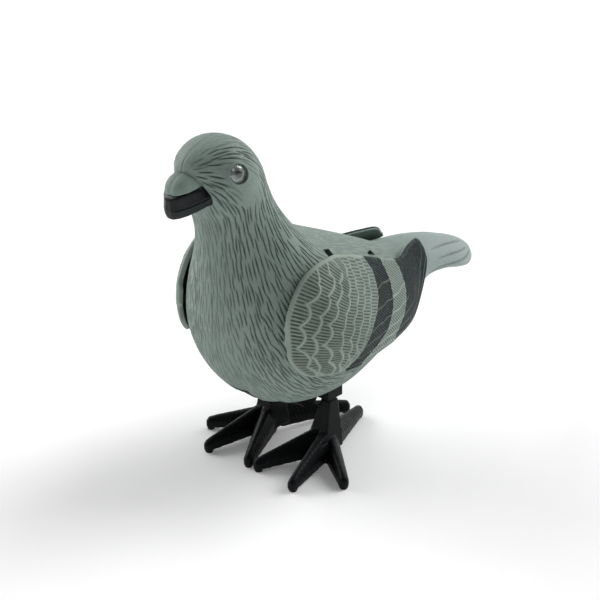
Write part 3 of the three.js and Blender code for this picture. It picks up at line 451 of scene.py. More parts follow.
class BodyHalf:
    """Outer surface of the left half: rings of vertices from the back round to the breast."""

    def __init__(self):
        self.t = self.stations()
        self.theta, self.fraction = [], []
        fine = np.linspace(0, math.pi, 121)
        for t in self.t:
            p = body_point(np.full(121, t), fine)
            arc = running(np.linalg.norm(np.diff(p, axis=0), axis=1))
            step = ACROSS_STEP * (1.9 if t < TAIL_END - 0.5 else 1.0)
            n = max(int(arc[-1] / step), 6)
            fraction = np.linspace(0, 1, n + 1)
            self.theta.append(np.interp(fraction * arc[-1], arc, fine))
            self.fraction.append(fraction)
        self.counts = [len(x) for x in self.theta]
        self.starts = running(self.counts)
        self.depth = [np.zeros(c) for c in self.counts]

    @staticmethod
    def stations():
        """Stations spaced by the fastest-moving line along the body."""
        fine = np.linspace(0, len(BODY_STATIONS) - 1, 1200)
        speed = np.zeros(1199)
        for angle in (0.0, 1.0, 1.6, 2.2, math.pi):
            p = body_point(fine, np.full(1200, angle))
            speed = np.maximum(speed, np.linalg.norm(np.diff(p, axis=0), axis=1))
        arc = running(speed)
        return np.interp(np.linspace(0, arc[-1], int(arc[-1] / ALONG_STEP)), arc, fine)

    def carve(self, dashes, half_width):
        """Sinks dashes into the surface, each deepest along its middle."""
        for t0, theta0, length, tilt, strength in dashes:
            _, _, _, lt, la = body_frame(t0, theta0)
            half_t = length / lt[0] / 2
            rows = np.nonzero(np.abs(self.t - t0) < half_t)[0]
            for r in rows:
                f = (self.t[r] - t0) / half_t
                full = (1 - f * f) ** 0.5
                centre = theta0 + tilt * f * half_t * lt[0] / la[0] + 0.25 * tilt * f * f
                width = half_width * (0.55 + 0.45 * full)
                d = np.abs(self.theta[r] - centre) * la[0]
                cut = DASH_DEPTH * strength * full * np.clip(1 - (d / width) ** 2, 0, None)
                np.maximum(self.depth[r], cut, out=self.depth[r])

    def build(self, name):
        """The half as a closed solid, flat where it meets the other half."""
        verts = []
        for r, t in enumerate(self.t):
            theta = self.theta[r]
            p, along, across, _, _ = body_frame(np.full(len(theta), t), theta)
            normal = np.cross(along, across)
            normal /= np.linalg.norm(normal, axis=1)[:, None]
            seam = PARTING_DEPTH * np.clip(1 - np.abs(p[:, 0]) / PARTING_WIDTH, 0, 1)
            q = p - normal * (self.depth[r] + seam)[:, None]
            q[:, 1] += tail_scallop(t, p[:, 0])
            q[0, 0] = q[-1, 0] = 0.0
            verts.append(q)
        faces = []
        for r in range(len(self.t) - 1):
            a = range(self.starts[r], self.starts[r + 1])
            b = range(self.starts[r + 1], self.starts[r + 2])
            faces += zipper(a, b, self.fraction[r], self.fraction[r + 1])
            faces.append((a[-1], b[-1], b[0], a[0]))
        verts = np.concatenate(verts)
        first = list(range(self.starts[0], self.starts[1]))
        last = list(range(self.starts[-2], self.starts[-1]))
        faces.append(tuple(first))
        faces.append(tuple(reversed(last)))
        obj = outward(new_object(name, verts, faces))
        # The dash depth also sets how much painted shade the body paint lays in each dash.
        set_attribute(obj, "groove", np.concatenate(self.depth) / DASH_DEPTH)
        tail = smoothstep(RUMP + 0.5, TAIL_END - 2.5, self.t)
        set_attribute(obj, "tail", np.repeat(tail, self.counts))
        return obj


def tail_scallop(t, x):
    """How far the tail's end steps back between its feathers."""
    reach = smoothstep(2.2, 0.0, t)
    feather = np.abs((np.abs(x) - 2.2) / 4.4 % 1.0 - 0.5) * 2
    return reach * (0.55 * feather ** 2 - 0.25)


def skin(name, rings):
    """A closed solid through rings that have the same number of points."""
    n = len(rings[0])
    faces = quads(len(rings), n, closed=True)
    faces.append(tuple(range(n)))
    faces.append(tuple(reversed(range((len(rings) - 1) * n, len(rings) * n))))
    return outward(new_object(name, np.concatenate(rings), faces))


def body_loft(name, grow, first, last, steps=3, around=64):
    """The whole body, both sides, grown or shrunk."""
    theta = np.linspace(0, 2 * math.pi, around, endpoint=False)
    stations = np.linspace(first, last, (last - first) * steps + 1)
    return skin(name, [body_point(np.full(around, t), theta, grow) for t in stations])


def rod_x(name, r, x0, x1, y, z, sides=40):
    return lathe(name, [(0, x0), (r, x0), (r, x1), (0, x1)], (0, y, z), (1, 0, 0), sides)


def mirror(mesh):
    """Turns a mesh over the X = 0 plane."""
    mesh.transform(Matrix.Diagonal((-1, 1, 1, 1)))
    mesh.flip_normals()


def mirrored(obj, name):
    """A copy of an object on the other side of the X = 0 plane."""
    mesh = obj.data.copy()
    mirror(mesh)
    mesh.name = name
    return add_object(name, mesh)


def paint(obj, material):
    obj.data.materials.clear()
    obj.data.materials.append(material)


# ------------ node materials
class Tree:
    """Small helper to lay out a node tree."""

    def __init__(self, tree):
        self.tree = tree

    def node(self, kind, inputs=None, **settings):
        node = self.tree.nodes.new(kind)
        for key, value in settings.items():
            setattr(node, key, value)
        for key, value in (inputs or {}).items():
            self.put(node.inputs[key], value)
        return node

    def put(self, socket, value):
        if isinstance(value, bpy.types.NodeSocket):
            self.tree.links.new(value, socket)
        else:
            socket.default_value = value

    def math(self, operation, a, b, clamp=False):
        return self.node("ShaderNodeMath", {0: a, 1: b}, operation=operation, use_clamp=clamp).outputs[0]

    def spread(self, value, low, high, to_low=0.0, to_high=1.0, **settings):
        """Values from low to high spread from to_low to to_high."""
        inputs = {"Value": value, "From Min": low, "From Max": high, "To Min": to_low, "To Max": to_high}
        return self.node("ShaderNodeMapRange", inputs, **settings).outputs["Result"]


class Nodes(Tree):
    """A material's node tree, around its shader."""

    def __init__(self, name):
        self.material = bpy.data.materials.new(name)
        self.material.use_nodes = True
        super().__init__(self.material.node_tree)
        self.shader = self.tree.nodes["Principled BSDF"]
        self.place = self.node("ShaderNodeTexCoord").outputs["Object"]

    def noise(self, scale, detail):
        """Noise with the scale in waves per metre."""
        inputs = {"Vector": self.place, "Scale": scale, "Detail": detail}
        return self.node("ShaderNodeTexNoise", inputs).outputs["Fac"]

    def cloud(self, scale, detail, to_low, to_high, low=0.3, high=0.7):
        return self.spread(self.noise(scale, detail), low, high, to_low, to_high)

    def attribute(self, name):
        return self.node("ShaderNodeAttribute", attribute_name=name).outputs["Fac"]

    def part(self, amount, value):
        """A product held between 0 and 1."""
        return self.math("MULTIPLY", amount, value, clamp=True)

    def mix(self, factor, a, b, blend="MIX"):
        node = self.node("ShaderNodeMix", data_type="RGBA", blend_type=blend)
        for socket, value in ((0, factor), (6, a), (7, b)):
            self.put(node.inputs[socket], value)
        return node.outputs[2]

    def shaded(self, colour, value):
        """A colour multiplied by a grey value."""
        grey = self.node("ShaderNodeCombineColor", {"Red": value, "Green": value, "Blue": value})
        return self.mix(1.0, colour, grey.outputs[0], "MULTIPLY")

    def bump(self, height, distance):
        """Bump from a height in 0..1 that stands for `distance` metres."""
        node = self.node("ShaderNodeBump", {"Height": height, "Distance": distance})
        self.put(self.shader.inputs["Normal"], node.outputs["Normal"])

    def surface(self, colour, roughness, **fixed):
        self.put(self.shader.inputs["Base Color"], colour)
        self.put(self.shader.inputs["Roughness"], roughness)
        for key, value in fixed.items():
            self.shader.inputs[key.replace("_", " ")].default_value = value
        return self.material


def plain_plastic(name, colour, roughness):
    """Moulded plastic: fine mould texture, slight cloudiness and a little wear in the gloss."""
    n = Nodes(name)
    n.bump(n.noise(3200.0, 2.0), 0.00004)
    rough = n.cloud(700.0, 3.0, roughness - 0.07, roughness + 0.09)
    return n.surface(n.shaded(colour, n.cloud(120.0, 4.0, 0.9, 1.1)), rough)


def metal(name, colour, roughness, scratch=60.0):
    """Drawn or turned metal: fine streaks in the gloss and faint tarnish."""
    n = Nodes(name)
    stretch = n.node("ShaderNodeMapping", {"Vector": n.place, "Scale": (scratch, 1400.0, 1400.0)})
    noise = n.node("ShaderNodeTexNoise", {"Vector": stretch.outputs[0], "Scale": 1.0, "Detail": 3.0})
    streaks = noise.outputs["Fac"]
    n.bump(streaks, 0.00001)
    rough = n.spread(streaks, 0.3, 0.7, roughness - 0.1, roughness + 0.14)
    return n.surface(n.shaded(colour, n.cloud(260.0, 4.0, 1.0, 0.78, 0.35, 0.75)), rough, Metallic=1.0)


def body_material():
    """Painted body: grey-green plumage, painted shade darkening the carved dashes, and a paler tail."""
    n = Nodes("body_paint")
    base = n.mix(n.cloud(28.0, 3.0, 0.0, 1.0, 0.35, 0.65), BODY_GREY, BODY_GREY_PALE)
    base = n.mix(n.attribute("tail"), base, TAIL_GREY)
    base = n.shaded(base, n.cloud(1500.0, 2.0, 0.94, 1.05, 0.35, 0.65))
    # Patchy strength of the painted shade in the dashes.
    shade_patchiness = n.cloud(400.0, 3.0, 0.62, 1.0)
    shadow = n.part(n.math("POWER", n.attribute("groove"), 0.75), shade_patchiness)
    n.bump(n.noise(2600.0, 3.0), 0.00005)
    rough = n.cloud(600.0, 3.0, 0.50, 0.64)
    return n.surface(n.mix(shadow, base, BODY_GROOVE_SHADE), rough, Specular_IOR_Level=0.3)


def wing_material():
    """Painted wing: pale scales with brown-grey ribs, charcoal bands, pale feather edges and a painted
    highlight along the rim.
    """
    n = Nodes("wing_paint")
    groove, line, band = n.attribute("groove"), n.attribute("line"), n.attribute("band")
    patches = n.noise(90.0, 3.0)
    pale = n.mix(n.spread(patches, 0.35, 0.65), WING_GREY, WING_GREY_PALE)
    pale = n.mix(n.part(groove, n.cloud(500.0, 3.0, 0.6, 1.0)), pale, WING_GROOVE)
    pale = n.mix(n.part(line, 0.85), pale, WING_LINE_AND_RIM_HIGHLIGHT)
    dark = n.mix(n.cloud(800.0, 4.0, 0.0, 1.0, 0.42, 0.66), BAND_DARK, BAND_BLUE)
    dark = n.mix(n.part(line, n.spread(patches, 0.3, 0.7, 0.35, 0.8)), dark, BAND_LINE)
    dark = n.mix(n.part(groove, 0.65), dark, BAND_GROOVE)
    ragged = n.math("ADD", band, n.cloud(1800.0, 2.0, -0.18, 0.18))
    colour = n.mix(n.spread(ragged, 0.42, 0.58), pale, dark)
    n.bump(n.noise(2600.0, 3.0), 0.00005)
    return n.surface(colour, n.cloud(700.0, 3.0, 0.48, 0.62), Specular_IOR_Level=0.18)


def black_material(name, roughness):
    """Black moulded plastic with a soft sheen, painted paler along the crest of each ridge as a painted
    highlight.
    """
    n = Nodes(name)
    # Painted highlight along the crests that the "ridge" attribute marks.
    ridge_highlight = n.part(n.attribute("ridge"), n.cloud(450.0, 4.0, 0.25, 0.9, 0.35, 0.65))
    base = n.mix(n.cloud(140.0, 4.0, 0.0, 1.0, 0.35, 0.7), BLACK, BLACK_PALE)
    n.bump(n.noise(1800.0, 3.0), 0.00004)
    rough = n.cloud(500.0, 4.0, roughness - 0.06, roughness + 0.1)
    return n.surface(n.mix(ridge_highlight, base, BLACK_MOTTLE_AND_HIGHLIGHT), rough, Specular_IOR_Level=0.12)


def beak_material():
    """Beak: glossy black upper part; satin lower part, painted a paler charcoal as a painted reflection
    of the pale floor.
    """
    n = Nodes("beak_paint")
    lower = n.attribute("lower")
    base = n.mix(lower, BEAK_BLACK, BEAK_LOWER_REFLECTION)
    base = n.mix(n.cloud(300.0, 4.0, 0.0, 0.35, 0.45, 0.75), base, BLACK_MOTTLE_AND_HIGHLIGHT)
    rough = n.math("ADD", n.cloud(600.0, 3.0, 0.2, 0.32), n.math("MULTIPLY", lower, 0.16))
    n.bump(n.noise(1500.0, 3.0), 0.00004)
    return n.surface(base, rough, Specular_IOR_Level=0.2, Coat_Weight=0.05, Coat_Roughness=0.12)


def eye_materials():
    """Dome painted silvery towards its edge as a painted reflection and darker towards its middle as
    painted shade, standing for a clear lens under a clear gloss; and a dark pupil.
    """
    dome = Nodes("eye_dome")
    streaks = dome.noise(1600.0, 3.0)
    # Painted reflection at the dome's edge, fading to painted shade in its middle.
    edge_reflection = dome.mix(dome.spread(streaks, 0.35, 0.65), EYE_EDGE_REFLECTION, EYE_EDGE_REFLECTION_PALE)
    colour = dome.mix(dome.spread(dome.attribute("inner"), 0.25, 0.75), edge_reflection, EYE_SHADE)
    rough = dome.spread(streaks, 0.3, 0.7, 0.10, 0.2)
    gloss = dome.surface(colour, rough, Metallic=0.25, Coat_Weight=1.0, Coat_Roughness=0.02)
    pupil = Nodes("eye_pupil_dark")
    depth = pupil.mix(pupil.cloud(1200.0, 2.0, 0.0, 1.0), PUPIL, PUPIL_PALE)
    rough = pupil.cloud(900.0, 2.0, 0.05, 0.1)
    return gloss, pupil.surface(depth, rough, Coat_Weight=1.0, Coat_Roughness=0.02)


BODY_PAINT = body_material()
WING_PAINT = wing_material()
BEAK_PAINT = beak_material()
LEG_PLASTIC = black_material("leg_black", 0.40)
CAD_MATERIALS = {
    "frame_plastic": black_material("frame_black", 0.44),
    "mechanism_plastic": plain_plastic("mechanism_white", srgb(222, 222, 214), 0.42),
    "gear_plastic": plain_plastic("gear_natural", srgb(232, 228, 210), 0.36),
    "motor_plastic": plain_plastic("motor_cap", srgb(226, 227, 224), 0.4),
    "lead_red": plain_plastic("lead_red_pvc", srgb(176, 32, 28), 0.4),
    "lead_black": plain_plastic("lead_black_pvc", srgb(24, 24, 26), 0.4),
    "steel_pin": metal("steel_pin_drawn", srgb(186, 188, 192), 0.26),
    "steel_screw": metal("steel_screw_zinc", srgb(172, 174, 178), 0.34),
    "motor_steel": metal("motor_can_steel", srgb(168, 171, 174), 0.32, 400.0),
    "brass_pinion": metal("brass_turned", srgb(206, 170, 96), 0.3),
    "contact_plate": metal("contact_nickel", srgb(190, 188, 182), 0.3, 300.0),
    "battery_case": plain_plastic("battery_wrap", srgb(40, 96, 120), 0.32),
}


# ------------ body shell halves
def hinge_z(y):
    return HINGE_Z - HINGE_SLOPE * (y - HINGE_Y)


def arm_slot(arm):
    """The opening that one arm sweeps as the wing lifts."""
    y, x, z = arm
    reach = math.hypot(x - HINGE_X, z - hinge_z(y)) + 8
    rest = math.atan2(z - hinge_z(y), x - HINGE_X)
    half = ARM_HALF + SLOT_GAP
    points = []
    for angle in np.linspace(rest, rest + FLAP, 7):
        c, s = math.cos(angle), math.sin(angle)
        for across in (-1.6, 1.6):
            for out in (0, reach):
                px, pz = HINGE_X - s * across + c * out, hinge_z(y) + c * across + s * out
                points += [(px, y - half, pz), (px, y + half, pz)]
    return hull("slot", points)


def ellipsoid(name, centre, radii, around=120, rings=60):
    profile = [(math.sin(math.pi * k / rings), -math.cos(math.pi * k / rings)) for k in range(rings + 1)]
    obj = lathe(name, profile, (0, 0, 0), (0, 0, 1), around)
    set_coords(obj, coords(obj) * radii + np.array(centre))
    return obj


def eye_place():
    """Middle of the left eye on the head's surface, and the direction it looks in."""
    p, along, across, _, _ = body_frame(EYE_STATION, EYE_ANGLE)
    normal = Vector(np.cross(along[0], across[0])).normalized()
    return Vector(p[0]), (normal + Vector((EYE_OUTWARD, 0, 0))).normalized()


def eye_rim(surface):
    """A thin raised lip that follows the head round the eye socket."""
    tree = BVHTree.FromObject(surface, bpy.context.evaluated_depsgraph_get())
    sides, around = 72, 10
    middle, axis = eye_place()
    level = axis.cross(Vector((0, 0, 1))).normalized()
    verts = []
    for i in range(sides):
        a = 2 * math.pi * i / sides
        out = level * math.cos(a) + axis.cross(level) * math.sin(a)
        start = middle + out * (SOCKET_R + 0.12) + axis * 9
        hit = tree.ray_cast(start * MM, -axis)[0]
        centre = hit / MM - axis * 0.10
        for j in range(around):
            b = 2 * math.pi * j / around
            verts.append(centre + out * EYE_LIP * math.cos(b) + axis * EYE_LIP * math.sin(b))
    faces = []
    for i in range(sides):
        here, ahead = i * around, (i + 1) % sides * around
        for j in range(around):
            k = (j + 1) % around
            faces.append((here + j, ahead + j, ahead + k, here + k))
    return outward(new_object("rim", verts, faces))


def cere_lobe():
    """One lobe of the cere, cut off at the parting line and along the ridge of the beak."""
    lobe = ellipsoid("cere", CERE_CENTRE, CERE_RADII)
    boolean(lobe, box("half_space", (-20, -90, 80), (0, -40, 120)))
    (y0, z0), (y1, z1) = BEAK_RIDGE
    under = [(x, y, z) for x in (-20, 20) for y, z in
             ((2 * y0 - y1, 2 * z0 - z1), (2 * y1 - y0, 2 * z1 - z0), (y1, 80), (2 * y0 - y1, 80))]
    boolean(lobe, hull("under_cere", under))
    return lobe


def shell_half(name, side, seed):
    """One moulded half: carved outside, hollow inside, with the openings that the works need."""
    half = BodyHalf()
    half.carve(place_dashes(seed), DASH_HALF_WIDTH)
    half.carve([(t, a, length, 0.2, 0.6) for t, a, length in TAIL_GROOVES], 0.5)
    body = half.build(name)
    boolean(body, cere_lobe(), "UNION")
    boolean(body, eye_rim(body), "UNION")
    hollow = body_loft("hollow", -WALL, 2, 20)
    for y, z in SHELL_SCREWS:
        boolean(hollow, rod_x("boss", BOSS_R, -40, 40, y, z))
    boolean(body, hollow)
    for arm in ARMS:
        boolean(body, arm_slot(arm))
    middle, axis = eye_place()
    profile = [(0, -EYE_SEAT), (SOCKET_R, -EYE_SEAT), (SOCKET_R, 9), (0, 9)]
    boolean(body, lathe("socket", profile, middle, axis, 72))
    for x0, y0, x1, y1 in BELLY_OPENING:
        boolean(body, box("opening", (x0, y0, 10), (x1, y1, 42)))
    boolean(body, beak_solid("beak_seat", BEAK_SEAT_GAP))
    for y, z in SHELL_SCREWS:
        boolean(body, rod_x("screw_bore", SCREW_R, -9, 7, y, z))
        if side < 0:
            boolean(body, rod_x("recess", SCREW_HEAD_R, 8, 40, y, z))
    if side < 0:
        mirror(body.data)
    smooth(body, 42.0)
    paint(body, BODY_PAINT)
    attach(body, "torso")
    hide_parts("body_shell_" + ("left" if side > 0 else "right"))


# ------------ beak
def between(a, b, part):
    return a + part * (b - a)


def beak_solid(name, grow=0.0):
    """Hooked beak with a mouth crease; the lower part is marked for the paler paint of a painted
    reflection.
    """
    rings, lower = [], []
    for s in np.linspace(0, 6, 25):
        k = min(int(s), 5)
        top, mouth, low = between(BEAK_STATIONS[k], BEAK_STATIONS[k + 1], s - k)
        half = [
            (0.0, top[1], top[2] + 0.15), (0.6 * top[0], top[1], top[2] + 0.1),
            (0.93 * top[0], *top[1:]), (top[0], *between(top, mouth, 0.12)[1:]),
            (0.5 * (top[0] + mouth[0]) - 0.12, *between(top, mouth, 0.55)[1:]),
            (mouth[0], *(mouth[1:] + (0, 0.32))), (mouth[0] - 0.05, *(mouth[1:] + (0, 0.10))),
            (mouth[0] - 0.40, *mouth[1:]), (mouth[0] - 0.05, *(mouth[1:] - (0, 0.10))),
            (mouth[0] + 0.05, *(mouth[1:] - (0, 0.32))),
            (0.5 * (mouth[0] + low[0]) + 0.25, *between(mouth, low, 0.55)[1:]),
            (low[0], *between(mouth, low, 0.93)[1:]), (0.8 * low[0], *low[1:]),
            (0.4 * low[0], low[1], low[2] - 0.1), (0.0, low[1], low[2] - 0.12),
        ]
        marks = [0] * 7 + [1] * 8
        other = [(-x, y, z) for x, y, z in half[-2:0:-1]]
        rings.append(np.array(half + other))
        lower += marks + marks[-2:0:-1]
    obj = skin(name, rings)
    set_attribute(obj, "lower", lower)
    apply_modifier(obj, "SUBSURF", levels=1, render_levels=1)
    if grow:
        set_coords(obj, coords(obj) + vertex_normals(obj) * grow)
    return obj


def make_beak():
    obj = beak_solid("beak_horn")
    smooth(obj, 40.0)
    paint(obj, BEAK_PAINT)
    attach(obj, "torso")
    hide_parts("beak")


# ------------ eyes
def make_eyes():
    gloss, dark = eye_materials()
    middle, axis = eye_place()
    seat = middle - axis * (EYE_SEAT - 0.1)
    sunk = 3.0
    dome = [(0, 0.0), (DOME_R - 0.06, 0.0), (DOME_R, 0.08)]
    for a in np.linspace(math.asin(DOME_R / DOME_BALL), 0, 25):
        dome.append((DOME_BALL * math.sin(a), DOME_BALL * math.cos(a) - sunk))
    cap = [(0, 1.5)]
    for a in np.linspace(PUPIL_ANGLE, 0, 12):
        rounded = 0.06 if len(cap) == 1 else 0
        cap.append((PUPIL_BALL * math.sin(a), PUPIL_BALL * math.cos(a) - sunk - rounded))
    for side_name, side in SIDES:
        start = (side * seat.x, seat.y, seat.z)
        towards = Vector((side * axis.x, axis.y, axis.z))
        for part, profile, material, node in (("dome", dome, gloss, "eye_lens"),
                                              ("pupil", cap, dark, "eye_pupil")):
            obj = lathe(f"eye_{part}_{side_name}", profile, start, towards, 72)
            away = coords(obj) - np.array(start)
            radius = np.linalg.norm(away - np.outer(away @ towards, towards), axis=1)
            # "inner" places the dome's painted reflection and its painted dark middle.
            set_attribute(obj, "inner", 1 - radius / DOME_R)
            smooth(obj, 40.0)
            paint(obj, material)
            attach(obj, "torso")
            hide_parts(f"{node}_{side_name}")


# ------------ wings
def wing_point(s, v):
    """Points of the left wing's outer face; s runs from front to tip, v from top to bottom."""
    y, xt, zt, xb, zb, bulge = spline(WING_SECTIONS, s).T
    return np.stack([xt + (xb - xt) * v + bulge * 4 * v * (1 - v), y, zt + (zb - zt) * v], -1)


def outline_distance(y, z, border):
    """Distance in the Y-Z plane to a polyline."""
    best = np.full(y.shape, 1e9)
    for (ya, za), (yb, zb) in zip(border[:-1], border[1:]):
        length = (yb - ya) ** 2 + (zb - za) ** 2
        f = np.clip(((y - ya) * (yb - ya) + (z - za) * (zb - za)) / max(length, 1e-9), 0, 1)
        best = np.minimum(best, np.hypot(y - ya - f * (yb - ya), z - za - f * (zb - za)))
    return best


def row_gap(k, y, z):
    """Distance behind the end of row k, positive towards the tail."""
    def gap(z):
        base = np.interp(z, ROW_Z, ROW_ENDS[k])
        arc = running(np.hypot(np.diff(ROW_Z), np.diff(ROW_ENDS[k])))
        run = np.interp(z, ROW_Z, arc) + np.minimum(z - ROW_Z[0], 0) + np.maximum(z - ROW_Z[-1], 0)
        room = base - np.interp(z, ROW_Z, ROW_ENDS[k - 1])
        depth = np.minimum(SCALLOP_DEPTH[k], 0.75 * room)
        across = (run / SCALLOP_LENGTH[k] + 0.37 * k) % 1.0
        return y - base - depth * (0.6 - (2 * across - 1) ** 2)
    here = gap(z)
    slope = np.clip((gap(z + 0.05) - here) / 0.05, -6, 6)
    return here / np.sqrt(1 + slope * slope)


def pulse(t, pitch, low=0.25, high=0.68):
    """A soft stripe in every pitch."""
    return smoothstep(high, low, np.abs(t / pitch % 1.0 - 0.5) * 2)


def rib_marks(y, z, row, nearest, inside):
    """The ribs of each feather: arcs on the front rows, level lines behind, slanted on the bands."""
    polar = 36.0 * np.arctan2(z - 47.0, -(y + 10.0))
    level = z + 0.4 * (y + 30.0)
    slanted = (z + 0.9 * y) * 0.743
    ribs = np.where(row <= 3, pulse(polar + 0.37 * row, 1.0), pulse(level + 0.41 * row, 0.98))
    ribs = np.where(row >= FIRST_BAND, pulse(slanted, 0.85, 0.15, 0.6), ribs)
    ragged = np.floor(np.where(row <= 3, polar, level)) * 12.9898 + row * 78.233
    ends = 0.28 + 0.3 * (np.sin(ragged) * 43758.5453 % 1.0)
    return ribs * smoothstep(ends - 0.12, ends + 0.15, nearest) * inside


def flight_edges(y, row, upper_distance, lower_distance):
    """Pale feather edges that follow the wing's lower outline across the bands."""
    feather = np.zeros(y.shape)
    for edge in FEATHER_EDGES:
        wave = edge + 0.15 * np.sin(y * 0.9 + edge)
        feather = np.maximum(feather, np.exp(-((lower_distance - wave) / 0.15) ** 2))
    plain = np.where(row == LAST_BAND, 10.0, 5.0)
    low = (row == LAST_BAND) * (lower_distance < 6)
    shown = np.maximum(smoothstep(plain, plain + 1.5, upper_distance), low)
    rim_distance = np.minimum(upper_distance, lower_distance)
    return feather * (row >= FIRST_BAND) * shown * smoothstep(0.9, 1.4, rim_distance)


def wing_relief(y, z, upper_distance, lower_distance):
    """Height in millimetres and the paint marks of the feather relief, with a painted highlight along the
    rim.
    """
    row = np.zeros(y.shape, int)
    nearest = np.full(y.shape, 9.0)
    line = np.zeros(y.shape)
    shingle = np.zeros(y.shape)
    gaps = {k: row_gap(k, y, z) for k in range(1, len(ROW_ENDS))}
    for k, gap in gaps.items():
        row[gap > 0] = k
        nearest = np.minimum(nearest, np.abs(gap))
        if k < FIRST_BAND:
            line = np.maximum(line, np.exp(-(gap / 0.17) ** 2))
        shingle = np.maximum(shingle, np.exp(np.minimum(gap, 0) / 1.4) * (gap <= 0))
    banded = row >= FIRST_BAND
    inside = smoothstep(RIM - 0.1, RIM + 0.45, np.minimum(upper_distance, lower_distance))
    rim = 1 - inside
    feather = flight_edges(y, row, upper_distance, lower_distance)
    groove = rib_marks(y, z, row, nearest, inside)
    groove = np.where(banded, groove * (1 - feather), groove)
    line = np.where(banded, feather, line * inside)
    height = (-0.24 * groove * np.where(banded, 0.75, 1.0) + 0.15 * line + 0.14 * shingle * inside
              + 0.12 * rim * (row < LAST_BAND))
    # Painted highlight: the rim outside the bands is painted paler.
    line = np.maximum(line, 0.35 * rim * ~banded)
    first = smoothstep(-0.12, 0.12, gaps[FIRST_BAND]) * smoothstep(0.12, -0.12, gaps[LIGHT_BAND])
    return height, groove, line, first + smoothstep(-0.12, 0.12, gaps[LAST_BAND])


def plate_grid():
    """Points of the plate's outer face, evenly spaced along it, and the normals there."""
    fine = np.linspace(0, len(WING_SECTIONS) - 1, 900)
    speed = np.max([np.linalg.norm(np.diff(wing_point(fine, np.full(900, v)), axis=0), axis=1)
                    for v in (0.0, 0.5, 1.0)], axis=0)
    arc = running(speed)
    s = np.interp(np.linspace(0, arc[-1], int(arc[-1] / 0.25) + 1), arc, fine)
    v = np.linspace(0, 1, WING_ROWS + 1)
    grid = np.stack([wing_point(np.full(len(v), k), v) for k in s])
    du, dv = np.gradient(grid, axis=0), np.gradient(grid, axis=1)
    normal = np.cross(dv, du)
    normal /= np.maximum(np.linalg.norm(normal, axis=2), 1e-9)[..., None]
    normal[normal[..., 0] < 0] *= -1
    return grid, normal


def plate(name):
    """The left wing's plate: a dense carved face, a rounded rim and a plain back."""
    grid, normal = plate_grid()
    y, z = grid[..., 1], grid[..., 2]
    top, bottom = grid[::6, 0, 1:], grid[::6, -1, 1:]
    front, rear = grid[0, ::10, 1:], grid[-1, ::10, 1:]
    lower = outline_distance(y, z, np.concatenate([bottom, rear[::-1]]))
    upper = outline_distance(y, z, np.concatenate([front[::-1], top]))
    height, groove, line, band = wing_relief(y, z, upper, lower)
    edge = np.clip(1 - np.minimum(lower, upper) / RIM_ROUND, 0, 1)
    height = height - 0.7 * (1 - np.sqrt(1 - edge * edge * 0.98))
    outer = grid + normal * height[..., None]
    columns, rows = len(grid) - 1, WING_ROWS
    every = np.append(np.arange(0, columns, BACK_COLUMNS), columns)
    back = (grid - normal * WING_THICK)[every, ::BACK_ROWS]
    wide, narrow, length = rows + 1, back.shape[1], len(every)
    base = wide * (columns + 1)
    faces = quads(columns + 1, wide)
    faces += [(a, d, c, b) for a, b, c, d in quads(length, narrow, start=base)]
    along, along_back = np.arange(columns + 1) / columns, every / columns
    down, down_back = np.arange(wide) / rows, np.arange(narrow) / (narrow - 1)
    for j, jb in ((0, 0), (rows, narrow - 1)):
        faces += zipper([i * wide + j for i in range(columns + 1)],
                        [base + i * narrow + jb for i in range(length)], along, along_back)
    for i, ib in ((0, 0), (columns, length - 1)):
        faces += zipper([i * wide + j for j in range(wide)],
                        [base + ib * narrow + j for j in range(narrow)], down, down_back)
    verts = np.concatenate([outer.reshape(-1, 3), back.reshape(-1, 3)])
    obj = outward(new_object(name, verts, faces))
    plain = np.zeros(length * narrow)
    for key, values in (("groove", groove), ("line", line), ("band", band)):
        set_attribute(obj, key, np.concatenate([values.ravel(), plain]))
    return obj


def hinge_rod(name, r, y0, y1, sides=32):
    axis = Vector((0, 1, -HINGE_SLOPE))
    length = (y1 - y0) * axis.length
    return lathe(name, [(0, 0), (r, 0), (r, length), (0, length)],
                 (HINGE_X, y0, hinge_z(y0)), axis, sides)


def wing_arms():
    """Hinge sleeve, push lever and the two arms of the left wing."""
    frame_part = hinge_rod("wing_arms", 2.6, -27.6, 3.0)
    z = hinge_z(-19.0)
    boolean(frame_part, box("lever", (HINGE_X - 4.8, -20.8, z - 1.1), (HINGE_X, -17.2, z + 1.1)), "UNION")
    for y, x, z in ARMS:
        z0 = hinge_z(y)
        angle = math.atan2(z - z0, x - HINGE_X)
        nx, nz = -math.sin(angle) * ARM_THICK, math.cos(angle) * ARM_THICK
        outline = [(a + k * nx, b + k * nz) for a, b in ((HINGE_X, z0), (x, z)) for k in (-1, 1)]
        arm = hull("arm", [(a, y + k * ARM_HALF, b) for a, b in outline for k in (-1, 1)])
        boolean(frame_part, arm, "UNION")
    boolean(frame_part, hinge_rod("bore", 1.3, -40, 20))
    apply_modifier(frame_part, "BEVEL", width=0.25 * MM, segments=2, limit_method="ANGLE")
    return frame_part


def make_wings():
    left = plate("wing_plate_left")
    boolean(left, body_loft("clearance", 0.5, 0, 22, 10, 240))
    arms = wing_arms()
    for side_name, side in SIDES:
        for source, name in ((left, "wing_plate_"), (arms, "wing_arms_")):
            obj = mirrored(source, name + side_name) if side < 0 else source
            obj.name = name + side_name
            smooth(obj, 40.0)
            paint(obj, WING_PAINT)
            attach(obj, side_name + "_wing")
            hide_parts("wing_" + side_name)


